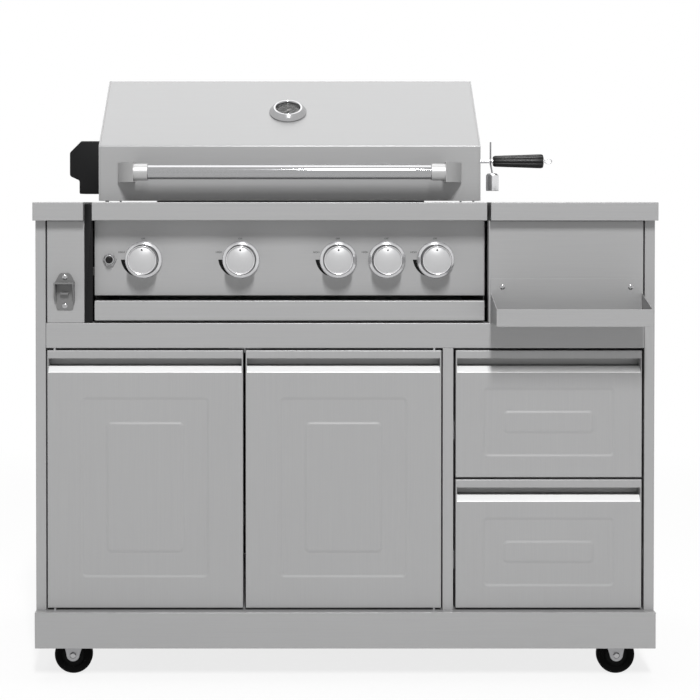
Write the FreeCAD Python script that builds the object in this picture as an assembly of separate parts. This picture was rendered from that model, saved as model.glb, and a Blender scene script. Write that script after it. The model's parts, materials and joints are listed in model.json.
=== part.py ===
import FreeCAD, Part
import math
import os

# Outdoor kitchen island in sheet steel on four swivel casters.
# X runs to the right, Y to the back and Z up. The origin is on the floor, under the middle of the
# island. All sizes are in millimetres. "Depth" is the distance behind the worktop's front edge.

# Cabinet
worktop_width = 1220.0
worktop_depth = 600.0
worktop_top = 935.0
worktop_edge = 36.0
sheet = 1.5
body_inset = 3.0
face_depth = 20.0
back_overhang = 10.0
post_width = 20.0
post_return = 20.0
base_top = 133.0
base_bottom = 62.0
head_bay_height = 201.0
rail_height = 49.5
front_rail_depth = 40.0
rear_rail_depth = 75.0
centre_post_left = 191.5
centre_post_width = 21.0
front_panel_depth = 25.0
panel_post_gap = 2.5
vent_width = 80.0
vent_height = 6.0
vent_pitch = 18.0
vent_column_pitch = 120.0
vent_rows = 3
vent_columns = 2
vent_from_edge = 60.0

# Doors and drawers
leaf_depth = 40.0
leaf_bottom_gap = 4.0
leaf_top_gap = 4.0
leaf_side_gap = 2.5
door_middle_gap = 5.0
drawer_side_gap = 4.5
drawer_middle_gap = 4.0
upper_drawer_height = 250.0
pull_strip = 16.0
pull_height = 43.0
pull_lip_rise = 11.0
pull_lip_run = 14.0
pull_depth = 35.0
pull_end_wall = 2.0
emboss_step = 2.5
emboss_slope = 4.0
emboss_door = (246.0, 350.0)
emboss_door_inner = (148.0, 253.0)
emboss_drawer = (254.0, 131.0)
emboss_drawer_inner = (175.0, 40.0)
emboss_centre_drop = 16.0
pivot_radius = 2.5
pivot_from_edge = 14.0
pivot_from_face = 6.0
pivot_length = 10.0
running_gap = 0.08
slide_gap = 0.3
small_sides = 12
round_sides = 32
catch_width = 64.0
catch_depth = 14.0
catch_drop = 12.0
catch_lap = 8.0
drawer_box_depth = 440.0
drawer_box_height = 150.0
drawer_box_inset = 11.0
drawer_box_lift = 12.0
runner_height = 36.0
runner_gap = 0.4
runner_start_gap = 2.0
slide_strip_height = 24.0
slide_strip_width = 9.0

# Grill head
left_worktop_width = 99.0
head_width = 770.0
left_slot = 17.0
right_slot = 7.5
deck_front = 109.0
lip_return = 60.0
rear_strip = 70.0
rear_slot = 4.0
deck_back = 84.0
control_depth = 45.0
control_height = 149.0
control_fold = 15.0
casing_flange = 10.0
fire_width = 724.0
fire_height = 175.0
fire_gap = 1.0
fire_flange = 8.0
grease_slot = 50.0
grease_slot_drop = 15.0
ledge_width = 10.0
grate_drop = 32.0
grate_thickness = 12.0
grate_bar = 8.0
grate_side_width = 10.0
grate_end_width = 14.0
grate_slots = 11
grate_gap = 3.0
grate_side_gap = 2.0
grate_end_gap = 1.0
tamer_drop = 83.0
tamer_rise = 34.0
tamer_width = 110.0
burner_radius = 16.0
rear_burner_width = 582.0
rear_burner_height = 94.0
rear_burner_drop = 17.0
rear_burner_depth = 29.0
tile_depth = 8.0

# Controls
knob_drop = 77.5
knob_pitch = 192.0
knob_radius = 29.0
knob_reach = 45.0
knob_panel_gap = 1.0
bezel_gap = 1.0
bezel_radius = 37.0
bezel_depth = 9.0
stem_side = 6.0
stem_hole = 12.0
valve_width = 30.0
valve_height = 32.0
valve_depth = 40.0
valve_gap = 4.0
manifold_side = 18.0
manifold_clearance = 1.0
inlet_radius = 8.0
inlet_length = 75.5
inlet_offset = 46.0
igniter_from_end = 30.0
igniter_nut_width = 28.0
igniter_button_radius = 7.2
igniter_reach = 16.0
igniter_body_radius = 10.5
igniter_travel = 6.0

# Drip tray
drip_front_lift = 5.0
drip_front_height = 39.0
drip_front_thickness = 14.0
drip_side_gap = 1.0
drip_tray_height = 32.0
drip_back_gap = 50.0

# Hood
hood_width = 757.0
hood_front = 65.0
hood_lift = 2.5
hood_front_height = 109.5
hood_height = 250.5
hood_back_height = 147.5
hood_back_lift = 17.5
hood_ridge_front = 272.0
hood_ridge_from_back = 85.0
hood_from_back = 60.0
hood_tail = 20.0
hood_bend = 5.0
hood_end_plate = 3.0
hinge_inset = 11.0
hinge_lift = 16.0
hinge_radius = 4.0
hinge_ear = 3.0
hinge_ear_front = 15.0
hinge_ear_back = 4.5
hinge_ear_top = 6.0
hinge_head_width = 12.0
hinge_head = 3.0
hinge_side_gap = 0.5
handle_lift = 56.1
handle_depth = 10.0
handle_radius = 14.0
handle_foot_span = 680.0
handle_foot_width = 34.0
handle_foot_edge = 6.0
handle_arm_lean = 36.0
handle_bracket_height = 39.0
ferrule_length = 27.0
ferrule_radius = 16.5

# Thermometer
gauge_shift = 4.0
gauge_share = 0.5
gauge_radius = 38.0
gauge_rim_radius = 27.0
gauge_case_height = 13.0
gauge_bore = 24.0
gauge_floor = 3.0
gauge_probe_radius = 5.0
gauge_probe_length = 60.0
gauge_probe_clearance = 0.5
dial_thickness = 1.5
needle_length = 17.0
needle_tail = 7.0
needle_width = 4.4
needle_thickness = 0.8
needle_hub_radius = 2.8
needle_hub_height = 1.6
needle_rest_turn = 135.0
glass_thickness = 1.5
glass_recess = 3.0

# Spit
spit_depth = 290.0
spit_lift = 86.0
spit_radius = 4.2
spit_handle_from_head = 42.0
spit_handle_length = 106.0
spit_handle_small = 12.0
spit_handle_large = 15.5
spit_handle_groove = 0.13
spit_handle_neck = 10.5
spit_handle_ribs = 10
spit_handle_collar = 4.0
eye_radius = 8.9
eye_wire = 2.8
eye_stalk = 1.6
spit_in_motor = 24.0
spit_slot_radius = 17.0
spit_slot_shift = 7.0
counterweight_from_head = 37.0
counterweight_radius = 13.5
counterweight_length = 37.0
counterweight_drop = 25.5
weight_wire_radius = 2.0
weight_wire_rise = 40.5
weight_eye_wall = 4.0
weight_eye_length = 4.0
fork_span = 312.0
fork_hub_side = 18.0
fork_hub_length = 18.0
fork_bar = 6.0
fork_prong_side = 4.5
fork_prong_length = 100.0
fork_spread = 26.0
fork_bore_gap = 0.05
motor_depth = 90.0
motor_height = 110.0
motor_above_spit = 41.0
motor_width = 52.0
motor_bulge = 20.0
motor_bulge_start = 24.0
motor_bulge_end = 73.0
motor_bulge_slope = 9.0
motor_corner = 4.0
bracket_plate = 2.0
motor_plate_width = 56.0
motor_plate_rise = 24.0
motor_plate_hole = 18.0
support_width = 30.0
support_rise = 9.0

# Tray and opener
tray_from_slot = 1.5
tray_side_gap = 4.5
tray_depth = 90.0
tray_lip_height = 33.0
tray_side_height = 58.0
tray_back_height = 87.0
tray_screw_height = 71.0
tray_screw_inset = 23.25
screw_head_radius = 5.5
screw_head_height = 2.5
opener_from_post = 38.0
opener_drop = 103.0
opener_height = 72.0
opener_width = 39.0
opener_foot_width = 33.0
opener_shoulder_width = 23.0
opener_top_width = 15.0
opener_corner = 3.0
opener_plate = 2.5
opener_lip_drop = 18.0
opener_lip_edge = 4.0
opener_reach = 24.0
opener_hood_height = 38.0
opener_hood_foot = 4.0
opener_wall = 3.0
opener_tooth_width = 16.0
opener_tooth_reach = 9.0
opener_tooth_drop = 20.0
opener_tooth_thickness = 4.0
opener_screw_inset = 8.0

# Casters
wheel_radius = 37.5
wheel_width = 24.0
caster_height = 100.0
caster_trail = 25.0
caster_from_side = 97.0
caster_from_front = 60.0
caster_plate = 3.0
caster_plate_length = 80.0
caster_plate_width = 60.0
kingpin_radius = 5.0
kingpin_head_width = 16.0
kingpin_head_height = 3.0
axle_radius = 4.0
axle_nut_width = 13.0
axle_nut_height = 4.0
fork_sheet = 2.5
fork_side_gap = 1.5
fork_web = 9.7
fork_web_back = 20.0
fork_cheek_half = 9.0
fork_cheek_shoulder = 17.0
fork_cheek_rise = 18.0
fork_cheek_throat = 12.0
channel_width = 90.0
channel_sheet = 2.5

# Places that follow from the sizes above
V = FreeCAD.Vector
front_y = (tray_depth - worktop_depth) / 2
half_top = worktop_width / 2
half_body = half_top - body_inset
half_inside = half_body - post_width
body_back = worktop_depth - back_overhang
worktop_under = worktop_top - worktop_edge
deck_under = worktop_top - sheet
rail_top = worktop_under - head_bay_height
rail_bottom = rail_top - rail_height
rail_back = face_depth + front_rail_depth
left_slab_end = left_worktop_width - half_top
head_left = left_slab_end + left_slot
head_centre = head_left + head_width / 2
head_right = head_left + head_width
head_back = worktop_depth - rear_strip
right_slab_start = head_right + right_slot
centre_post_right = centre_post_left + centre_post_width
leaf_bottom = base_top + leaf_bottom_gap
leaf_top = rail_bottom - leaf_top_gap
leaf_back = face_depth + leaf_depth
door_left = -half_inside + leaf_side_gap
door_right = centre_post_left - leaf_side_gap
door_middle = (door_left + door_right) / 2
drawer_left = centre_post_right + drawer_side_gap
drawer_right = half_inside - drawer_side_gap
upper_drawer_bottom = leaf_top - upper_drawer_height
lower_drawer_top = upper_drawer_bottom - drawer_middle_gap
fire_left = head_centre - fire_width / 2
fire_right = head_centre + fire_width / 2
fire_front = deck_front + fire_gap
fire_back = head_back - deck_back
fire_bottom = worktop_top - fire_height
grate_height = worktop_top - grate_drop
tamer_height = worktop_top - tamer_drop
knob_height = worktop_under - knob_drop
knob_places = [head_centre + knob_pitch * step for step in (-1.5, -0.5, 0.5, 1.0, 1.5)]
burner_places = [knob_places[index] for index in (0, 1, 2, 4)]
panel_back = control_depth + control_fold
valve_front = panel_back + valve_gap
valve_back = valve_front + valve_depth
manifold_top = knob_height - valve_height / 2
manifold_depth = (valve_front + valve_back) / 2
igniter_x = head_left + igniter_from_end
hood_left = head_centre - hood_width / 2
hood_right = head_centre + hood_width / 2
hood_bottom = worktop_top + hood_lift
hood_fold = hood_bottom + hood_front_height
hood_back = head_back - hood_from_back
hood_ridge_back = hood_back - hood_ridge_from_back
hinge_depth = hood_back - hinge_inset
hinge_height = worktop_top + hinge_lift
handle_height = hood_bottom + handle_lift
ferrule_span = handle_foot_span - 2 * handle_arm_lean
spit_height = worktop_top + spit_lift
spit_handle_start = head_right + spit_handle_from_head
spit_handle_end = spit_handle_start + spit_handle_length
counterweight_x = head_right + counterweight_from_head
tray_left = right_slab_start + tray_from_slot
tray_right = half_inside - tray_side_gap
tray_screw_places = (tray_left + tray_screw_inset, tray_right - tray_screw_inset)
opener_x = opener_from_post - half_inside
opener_top = worktop_under - opener_drop
opener_bottom = opener_top - opener_height
opener_lip = opener_top - opener_lip_drop
opener_screws = (opener_top - opener_screw_inset, opener_bottom + opener_screw_inset)


def block(x0, x1, d0, d1, z0, z1):
    """A box between two X limits, two depths and two heights."""
    return Part.makeBox(x1 - x0, d1 - d0, z1 - z0, V(x0, front_y + d0, z0))


def closed_face(corners):
    return Part.Face(Part.makePolygon(corners + corners[:1]))


def along_x(outline, x0, x1):
    """A (depth, height) outline carried from x0 to x1."""
    corners = [V(x0, front_y + depth, height) for depth, height in outline]
    return closed_face(corners).extrude(V(x1 - x0, 0, 0))


def along_y(outline, d0, d1):
    """An (x, height) outline carried from depth d0 to d1."""
    corners = [V(x, front_y + d0, height) for x, height in outline]
    return closed_face(corners).extrude(V(0, d1 - d0, 0))


def along_z(outline, z0, z1):
    """An (x, depth) outline carried from height z0 to z1."""
    corners = [V(x, front_y + depth, z0) for x, depth in outline]
    return closed_face(corners).extrude(V(0, 0, z1 - z0))


def folded(path, thickness=sheet):
    """The outline of a sheet bent along a path; the metal lies to the left of the path."""
    units = []
    for (a0, b0), (a1, b1) in zip(path, path[1:]):
        length = math.hypot(a1 - a0, b1 - b0)
        units.append((-(b1 - b0) / length, (a1 - a0) / length))
    inner = []
    for index, (a, b) in enumerate(path):
        before = units[max(index - 1, 0)]
        after = units[min(index, len(units) - 1)]
        share = thickness / (1 + before[0] * after[0] + before[1] * after[1])
        inner.append((a + (before[0] + after[0]) * share, b + (before[1] + after[1]) * share))
    return list(path) + inner[::-1]


def rod_x(x0, x1, depth, height, radius):
    return Part.makeCylinder(radius, x1 - x0, V(x0, front_y + depth, height), V(1, 0, 0))


def rod_y(x, height, d0, d1, radius):
    return Part.makeCylinder(radius, d1 - d0, V(x, front_y + d0, height), V(0, 1, 0))


def rod_z(x, depth, z0, z1, radius):
    return Part.makeCylinder(radius, z1 - z0, V(x, front_y + depth, z0), V(0, 0, 1))


def turned(profile, start, axis):
    """A closed (distance along the axis, radius) profile turned about an axis from a start point."""
    side = V(0, 0, 1) if abs(axis.z) < 0.5 else V(1, 0, 0)
    across = axis.cross(side)
    across.normalize()
    corners = [start + axis * along + across * radius for along, radius in profile]
    return closed_face(corners).revolve(start, axis, 360)


def pan(x0, x1, d0, d1, z0, z1, open_side):
    """A folded tray of one sheet, open on one side."""
    low = {"x": x0, "y": d0, "z": z0}
    high = {"x": x1, "y": d1, "z": z1}
    for name in "xyz":
        low[name] += sheet
        high[name] -= sheet
    if open_side[0] == "-":
        low[open_side[1]] -= 2 * sheet
    else:
        high[open_side[1]] += 2 * sheet
    inside = block(low["x"], high["x"], low["y"], high["y"], low["z"], high["z"])
    return block(x0, x1, d0, d1, z0, z1).cut(inside)


def sided_ring(centre, normal, radius, sides):
    """Corners of a regular figure drawn round a circle, with a flat below and at each side."""
    across = V(1, 0, 0)
    up = normal.cross(across)
    half_step = math.pi / sides
    reach = radius / math.cos(half_step)
    corners = []
    for step in range(sides):
        angle = (2 * step + 1) * half_step
        corners.append(centre + across * (reach * math.cos(angle)) + up * (reach * math.sin(angle)))
    return corners


def tapered(rings):
    """A solid with flat sides through a row of rings of as many corners each."""
    faces = [closed_face(rings[0]), closed_face(rings[-1])]
    for near, far in zip(rings, rings[1:]):
        for index, corner in enumerate(near):
            faces.append(closed_face([near[index - 1], corner, far[index], far[index - 1]]))
    return Part.makeSolid(Part.makeShell(faces))


def hexagon(axis_depth, axis_height, width):
    """The (depth, height) corners of a hexagon of a given width across its corners."""
    corners = []
    for step in range(6):
        angle = math.pi * step / 3
        corners.append((axis_depth + width / 2 * math.cos(angle), axis_height + width / 2 * math.sin(angle)))
    return corners


def mirrored(shape):
    """The same shape on the other side of the grill head's middle."""
    return shape.mirror(V(head_centre, 0, 0), V(1, 0, 0))


def save(name, *solids):
    shape = solids[0] if len(solids) == 1 else Part.makeCompound(list(solids))
    shape.exportStep("parts/" + name + ".step")


def base_plinth():
    """Skirts round an inverted tray; its top sheet is the cabinet floor and shows as a narrow ledge."""
    floor = block(-half_body, half_body, 0, body_back, base_top - sheet, base_top)
    under = base_top - sheet
    front = block(-half_body, half_body, 0, sheet, base_bottom, under)
    back = block(-half_body, half_body, body_back - sheet, body_back, base_bottom, under)
    left = block(-half_body, sheet - half_body, sheet, body_back - sheet, base_bottom, under)
    right = block(half_body - sheet, half_body, sheet, body_back - sheet, base_bottom, under)
    save("base_plinth", floor, front, back, left, right)


def side_panels():
    """Each side is one sheet with a folded front post and a rear return."""
    path = [
        (-half_inside, face_depth + post_return),
        (-half_inside, face_depth),
        (-half_body, face_depth),
        (-half_body, body_back),
        (-half_inside, body_back),
    ]
    left = along_z(folded(path, -sheet), base_top, deck_under)
    save("side_panels", left, left.mirror(V(0, 0, 0), V(1, 0, 0)))


def centre_divider():
    """Narrow front post folded from the sheet that parts the door bay from the drawer bay."""
    path = [
        (centre_post_left, face_depth + post_return),
        (centre_post_left, face_depth),
        (centre_post_right, face_depth),
        (centre_post_right, body_back),
    ]
    save("centre_divider", along_z(folded(path), base_top, rail_bottom))


def top_rails():
    front = pan(-half_inside, half_inside, face_depth, face_depth + front_rail_depth,
                rail_bottom, rail_top, "+y")
    rear = pan(-half_inside, half_inside, body_back - rear_rail_depth, body_back,
               rail_bottom, rail_top, "-y")
    save("top_rails", front, rear)


def front_panels():
    """Flush panels that close the bays beside the grill head."""
    back = face_depth + front_panel_depth
    save("left_front_panel", pan(panel_post_gap - half_inside, left_slab_end, face_depth, back,
                                 rail_top, worktop_under, "+y"))
    save("right_front_panel", pan(right_slab_start - panel_post_gap, half_inside - panel_post_gap,
                                  face_depth, back, rail_top, worktop_under, "+y"))


def back_panel():
    """Rear sheet with a group of vents low down and one high up, for the gas bay."""
    panel = block(-half_body, half_body, body_back, body_back + sheet, base_top, worktop_under)
    group_height = (vent_rows - 1) * vent_pitch + vent_height
    vents = []
    for bottom in (base_top + vent_from_edge, worktop_under - vent_from_edge - group_height):
        for column in range(vent_columns):
            x = head_centre + (column - (vent_columns - 1) / 2) * vent_column_pitch - vent_width / 2
            for row in range(vent_rows):
                z = bottom + row * vent_pitch
                vents.append(block(x, x + vent_width, body_back, body_back + sheet, z, z + vent_height))
    save("back_panel", panel.cut(Part.makeCompound(vents)))


def worktops():
    """Flat pans with a turned-down edge all round."""
    save("left_worktop", pan(-half_top, left_slab_end, 0, worktop_depth, worktop_under, worktop_top, "-z"))
    save("right_worktop", pan(right_slab_start, half_top, 0, worktop_depth,
                              worktop_under, worktop_top, "-z"))
    save("rear_worktop", pan(left_slab_end, right_slab_start, head_back + rear_slot, worktop_depth,
                             worktop_under, worktop_top, "-z"))


def rectangle(x, height, size, depth):
    """An upright rectangular wire about a middle point."""
    half_x = size[0] / 2
    half_z = size[1] / 2
    y = front_y + depth
    corners = [
        V(x - half_x, y, height - half_z),
        V(x + half_x, y, height - half_z),
        V(x + half_x, y, height + half_z),
        V(x - half_x, y, height + half_z),
    ]
    return Part.makePolygon(corners + corners[:1])


def emboss_ring(x, height, outer, inner):
    """The pressed band between two rectangles: sloped down from the outer one, up to the inner one."""
    floor = face_depth + emboss_step
    narrow = (outer[0] - 2 * emboss_slope, outer[1] - 2 * emboss_slope)
    wide = (inner[0] + 2 * emboss_slope, inner[1] + 2 * emboss_slope)
    pressed = Part.makeLoft([rectangle(x, height, outer, face_depth),
                             rectangle(x, height, narrow, floor)], True, True)
    left_up = Part.makeLoft([rectangle(x, height, inner, face_depth),
                             rectangle(x, height, wide, floor)], True, True)
    return pressed.cut(left_up)


def pull_cut(x0, x1, top, shrink):
    """The finger pull: a full-width channel under the top strip, with a slanted lip below it."""
    strip_under = top - pull_strip + shrink
    lip_low = top - pull_height - shrink
    lip_high = lip_low + pull_lip_rise
    back = face_depth + pull_depth + shrink
    outline = [
        (face_depth - sheet, strip_under),
        (back, strip_under),
        (back, lip_high),
        (face_depth + pull_lip_run, lip_high),
        (face_depth, lip_low),
        (face_depth - sheet, lip_low),
    ]
    return along_x(outline, x0 + pull_end_wall - shrink, x1 - pull_end_wall + shrink)


def leaf(x0, x1, z0, z1, outer, inner):
    """A door or drawer front: a pressed skin with a finger pull, and the flat liner behind it."""
    middle = (x0 + x1) / 2
    height = (z0 + z1) / 2 - emboss_centre_drop
    liner_front = leaf_back - sheet
    ring = emboss_ring(middle, height, outer, inner)
    skin = block(x0, x1, face_depth, liner_front, z0, z1)
    skin = skin.cut(pull_cut(x0, x1, z1, 0)).cut(ring)
    hollow = block(x0 + sheet, x1 - sheet, face_depth + sheet, leaf_back, z0 + sheet, z1 - sheet)
    behind_ring = ring.copy()
    behind_ring.translate(V(0, sheet, 0))
    hollow = hollow.cut(pull_cut(x0, x1, z1, sheet)).cut(behind_ring)
    liner = block(x0, x1, liner_front, leaf_back, z0, z1)
    return skin.cut(hollow), liner


def doors():
    """Two doors, each with a pivot bore in its lower and its upper edge."""
    depth = face_depth + pivot_from_face
    bore = pivot_radius + running_gap
    for name, x0, x1, x in (
        ("left_door", door_left, door_middle - door_middle_gap / 2, door_left + pivot_from_edge),
        ("right_door", door_middle + door_middle_gap / 2, door_right, door_right - pivot_from_edge),
    ):
        skin, liner = leaf(x0, x1, leaf_bottom, leaf_top, emboss_door, emboss_door_inner)
        skin = skin.cut(rod_z(x, depth, base_top, leaf_bottom + 2 * sheet, bore))
        skin = skin.cut(rod_z(x, depth, leaf_top - 2 * sheet, rail_bottom, bore))
        save(name, skin, liner)


def door_pivots():
    """Four pins that the doors turn on, and the magnet catch that hangs from the rail."""
    solids = []
    depth = face_depth + pivot_from_face
    for x in (door_left + pivot_from_edge, door_right - pivot_from_edge):
        solids.append(rod_z(x, depth, base_top, base_top + pivot_length, pivot_radius))
        solids.append(rod_z(x, depth, rail_bottom - pivot_length, rail_bottom, pivot_radius))
    arm_under = rail_bottom + sheet
    catch_front = leaf_back + slide_gap
    catch = [
        (rail_back - catch_lap, arm_under),
        (catch_front, arm_under),
        (catch_front, rail_bottom - catch_drop),
        (catch_front + catch_depth, rail_bottom - catch_drop),
        (catch_front + catch_depth, arm_under + sheet),
        (rail_back - catch_lap, arm_under + sheet),
    ]
    solids.append(along_x(catch, door_middle - catch_width / 2, door_middle + catch_width / 2))
    save("door_pivots", *solids)


def drawer_limits():
    """Name, front's lowest and highest point of each drawer."""
    return (
        ("upper_drawer", upper_drawer_bottom, leaf_top),
        ("lower_drawer", leaf_bottom, lower_drawer_top),
    )


def strip_middle(bottom):
    return bottom + drawer_box_lift + drawer_box_height / 2


def drawers():
    box_left = drawer_left + drawer_box_inset
    box_right = drawer_right - drawer_box_inset
    box_back = leaf_back + drawer_box_depth
    for name, bottom, top in drawer_limits():
        skin, liner = leaf(drawer_left, drawer_right, bottom, top, emboss_drawer, emboss_drawer_inner)
        save(name + "_front", skin, liner)
        low = bottom + drawer_box_lift
        box = pan(box_left, box_right, leaf_back, box_back, low, low + drawer_box_height, "+z")
        middle = strip_middle(bottom)
        z0 = middle - slide_strip_height / 2
        z1 = middle + slide_strip_height / 2
        left = block(box_left - slide_strip_width, box_left, leaf_back, box_back, z0, z1)
        right = block(box_right, box_right + slide_strip_width, leaf_back, box_back, z0, z1)
        save(name + "_box", box, left, right)


def drawer_runners():
    """C-shaped channels that the drawers' side strips run in."""
    solids = []
    box_left = drawer_left + drawer_box_inset
    box_right = drawer_right - drawer_box_inset
    half_strip = slide_strip_height / 2 + runner_gap
    half_runner = runner_height / 2
    for _, bottom, _ in drawer_limits():
        middle = strip_middle(bottom)
        for wall, box_side in ((centre_post_right, box_left), (half_body - sheet, box_right)):
            toward = 1 if box_side > wall else -1
            mouth = box_side - toward * 2 * runner_gap
            web = box_side - toward * (slide_strip_width + runner_gap)
            outline = [
                (wall, middle - half_runner),
                (mouth, middle - half_runner),
                (mouth, middle - half_strip),
                (web, middle - half_strip),
                (web, middle + half_strip),
                (mouth, middle + half_strip),
                (mouth, middle + half_runner),
                (wall, middle + half_runner),
            ]
            solids.append(along_y(outline, leaf_back + runner_start_gap, leaf_back + drawer_box_depth))
    save("drawer_runners", *solids)


def grill_frame():
    """Drop-in casing: front lip, deck strips round the cooking opening and three walls."""
    lip_path = [
        (deck_front, worktop_top),
        (0, worktop_top),
        (0, worktop_under),
        (lip_return, worktop_under),
    ]
    lip = along_x(folded(lip_path), head_left, head_right)
    left_deck = block(head_left, fire_left, deck_front, fire_back, deck_under, worktop_top)
    right_deck = block(fire_right, head_right, deck_front, fire_back, deck_under, worktop_top)
    rear_deck = block(head_left, head_right, fire_back, head_back, deck_under, worktop_top)
    wall_path = [
        (head_left + casing_flange + sheet, rail_top),
        (head_left, rail_top),
        (head_left, deck_under),
    ]
    left_wall = along_y(folded(wall_path, -sheet), lip_return, head_back - sheet)
    right_wall = mirrored(left_wall)
    left_wall = left_wall.cut(manifold_notch())
    rear_wall = block(head_left, head_right, head_back - sheet, head_back, rail_top, deck_under)
    save("grill_frame", lip, left_deck, right_deck, rear_deck, left_wall, right_wall, rear_wall)


def control_panel():
    """Folded panel, punched square for the stems and round for the igniter's body."""
    panel = pan(head_left, head_right, control_depth, panel_back,
                worktop_under - control_height, worktop_under, "+y")
    half = stem_hole / 2
    for x in knob_places:
        panel = panel.cut(block(x - half, x + half, control_depth, panel_back,
                                knob_height - half, knob_height + half))
    save("control_panel", panel.cut(rod_y(igniter_x, knob_height, control_depth, panel_back,
                                          igniter_body_radius)))


def control_bezels():
    """Five flared rings round the knobs, and the igniter's body with its nut."""
    solids = []
    bore = knob_radius + bezel_gap
    ring = [(0, bore), (-bezel_depth, bore), (0, bezel_radius)]
    for x in knob_places:
        solids.append(turned(ring, V(x, front_y + control_depth, knob_height), V(0, 1, 0)))
    front = control_depth - bezel_depth
    back = control_depth + valve_depth
    nut = along_y(hexagon(igniter_x, knob_height, igniter_nut_width), front, control_depth)
    body = rod_y(igniter_x, knob_height, control_depth, back, igniter_body_radius)
    button_bore = rod_y(igniter_x, knob_height, front, back, igniter_button_radius + running_gap)
    solids.append(nut.fuse(body).cut(button_bore))
    save("control_bezels", *solids)


def knobs():
    """Round knobs, each on the square stem that turns its valve."""
    back = control_depth - knob_panel_gap
    front = control_depth - knob_reach
    half = stem_side / 2
    for number, x in enumerate(knob_places, 1):
        knob = rod_y(x, knob_height, front, back, knob_radius)
        stem = block(x - half, x + half, back, valve_front - slide_gap, knob_height - half, knob_height + half)
        save("knob_%d" % number, knob, stem)


def igniter_button():
    back = control_depth + valve_depth - igniter_travel
    save("igniter_button", rod_y(igniter_x, knob_height, control_depth - igniter_reach, back,
                                 igniter_button_radius))


def gas_valves():
    """Valve bodies on a square manifold, with the pipe that the gas supply joins."""
    solids = []
    for x in knob_places:
        solids.append(block(x - valve_width / 2, x + valve_width / 2, valve_front, valve_back,
                            manifold_top, manifold_top + valve_height))
    inlet_x = head_left - inlet_offset
    half = manifold_side / 2
    under = manifold_top - manifold_side
    solids.append(block(inlet_x - half, knob_places[-1] + valve_width, manifold_depth - half,
                        manifold_depth + half, under, manifold_top))
    solids.append(rod_z(inlet_x, manifold_depth, under - inlet_length, under, inlet_radius))
    save("gas_valves", *solids)


def manifold_notch():
    """The room that the manifold takes where it leaves the casing."""
    half = manifold_side / 2 + manifold_clearance
    return block(head_left, head_left + sheet, manifold_depth - half, manifold_depth + half,
                 manifold_top - manifold_side - manifold_clearance, manifold_top + manifold_clearance)


def firebox():
    """Four walls hung by their flanges, with ledges for grates and tamers, and a sloped floor."""
    inner = fire_front + sheet
    wall = [
        (fire_front - fire_flange, deck_under - sheet),
        (fire_front - fire_flange, deck_under),
        (inner, deck_under),
        (inner, grate_height),
        (inner + ledge_width, grate_height),
        (inner + ledge_width, grate_height - sheet),
        (inner, grate_height - sheet),
        (inner, tamer_height),
        (inner + ledge_width, tamer_height),
        (inner + ledge_width, tamer_height - sheet),
        (inner, tamer_height - sheet),
        (inner, fire_bottom),
        (fire_front, fire_bottom),
        (fire_front, deck_under - sheet),
    ]
    front = along_x(wall, fire_left, fire_right)
    middle = (fire_front + fire_back) / 2
    back = front.mirror(V(0, front_y + middle, 0), V(0, 1, 0))
    for x in burner_places:
        front = front.cut(block(x - burner_radius, x + burner_radius, fire_front, inner,
                                knob_height - burner_radius, knob_height + burner_radius))
    side = [
        (fire_left - fire_flange, deck_under - sheet),
        (fire_left - fire_flange, deck_under),
        (fire_left + sheet, deck_under),
        (fire_left + sheet, fire_bottom),
        (fire_left, fire_bottom),
        (fire_left, deck_under - sheet),
    ]
    left = along_y(side, inner, fire_back - sheet).cut(front).cut(back)
    slope = [
        (fire_front, fire_bottom),
        (middle - grease_slot / 2, fire_bottom - grease_slot_drop),
    ]
    floor = along_x(folded(slope, -sheet), fire_left, fire_right)
    other_floor = floor.mirror(V(0, front_y + middle, 0), V(0, 1, 0))
    save("firebox", front, back, left, mirrored(left), floor, other_floor)


def burner_tubes():
    """Straight tubes from the valves, through the front wall, to the back wall."""
    save("burner_tubes", *[rod_y(x, knob_height, valve_back, fire_back - sheet, burner_radius)
                           for x in burner_places])


def flame_tamers():
    """Ridged covers over the burners; their feet stand on the lower ledges."""
    solids = []
    foot = tamer_height + sheet
    for x in burner_places:
        ridge = [
            (x + tamer_width / 2, foot),
            (x, foot + tamer_rise),
            (x - tamer_width / 2, foot),
        ]
        solids.append(along_y(folded(ridge), fire_front + sheet + grate_end_gap,
                              fire_back - sheet - grate_end_gap))
    save("flame_tamers", *solids)


def cooking_grates():
    """Two cast grates: a frame with long slots cut right through."""
    solids = []
    d0 = fire_front + sheet + grate_end_gap
    d1 = fire_back - sheet - grate_end_gap
    left = fire_left + sheet + grate_side_gap
    right = fire_right - sheet - grate_side_gap
    for x0, x1 in ((left, head_centre - grate_gap / 2), (head_centre + grate_gap / 2, right)):
        grate = block(x0, x1, d0, d1, grate_height, grate_height + grate_thickness)
        bars = (grate_slots - 1) * grate_bar
        slot = (x1 - x0 - 2 * grate_side_width - bars) / grate_slots
        cuts = []
        for index in range(grate_slots):
            start = x0 + grate_side_width + index * (slot + grate_bar)
            cuts.append(block(start, start + slot, d0 + grate_end_width, d1 - grate_end_width,
                              grate_height, grate_height + grate_thickness))
        solids.append(grate.cut(Part.makeCompound(cuts)))
    save("cooking_grates", *solids)


def rear_burner():
    """Infrared burner on the back wall: a folded housing with a ceramic tile set in it."""
    x0 = head_centre - rear_burner_width / 2
    x1 = head_centre + rear_burner_width / 2
    back = fire_back - sheet
    bottom = worktop_top - rear_burner_drop
    top = bottom + rear_burner_height
    housing = pan(x0, x1, back - rear_burner_depth, back, bottom, top, "-y")
    tile = block(x0 + sheet, x1 - sheet, back - sheet - tile_depth, back - sheet,
                 bottom + sheet, top - sheet)
    save("rear_burner", housing, tile)


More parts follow.
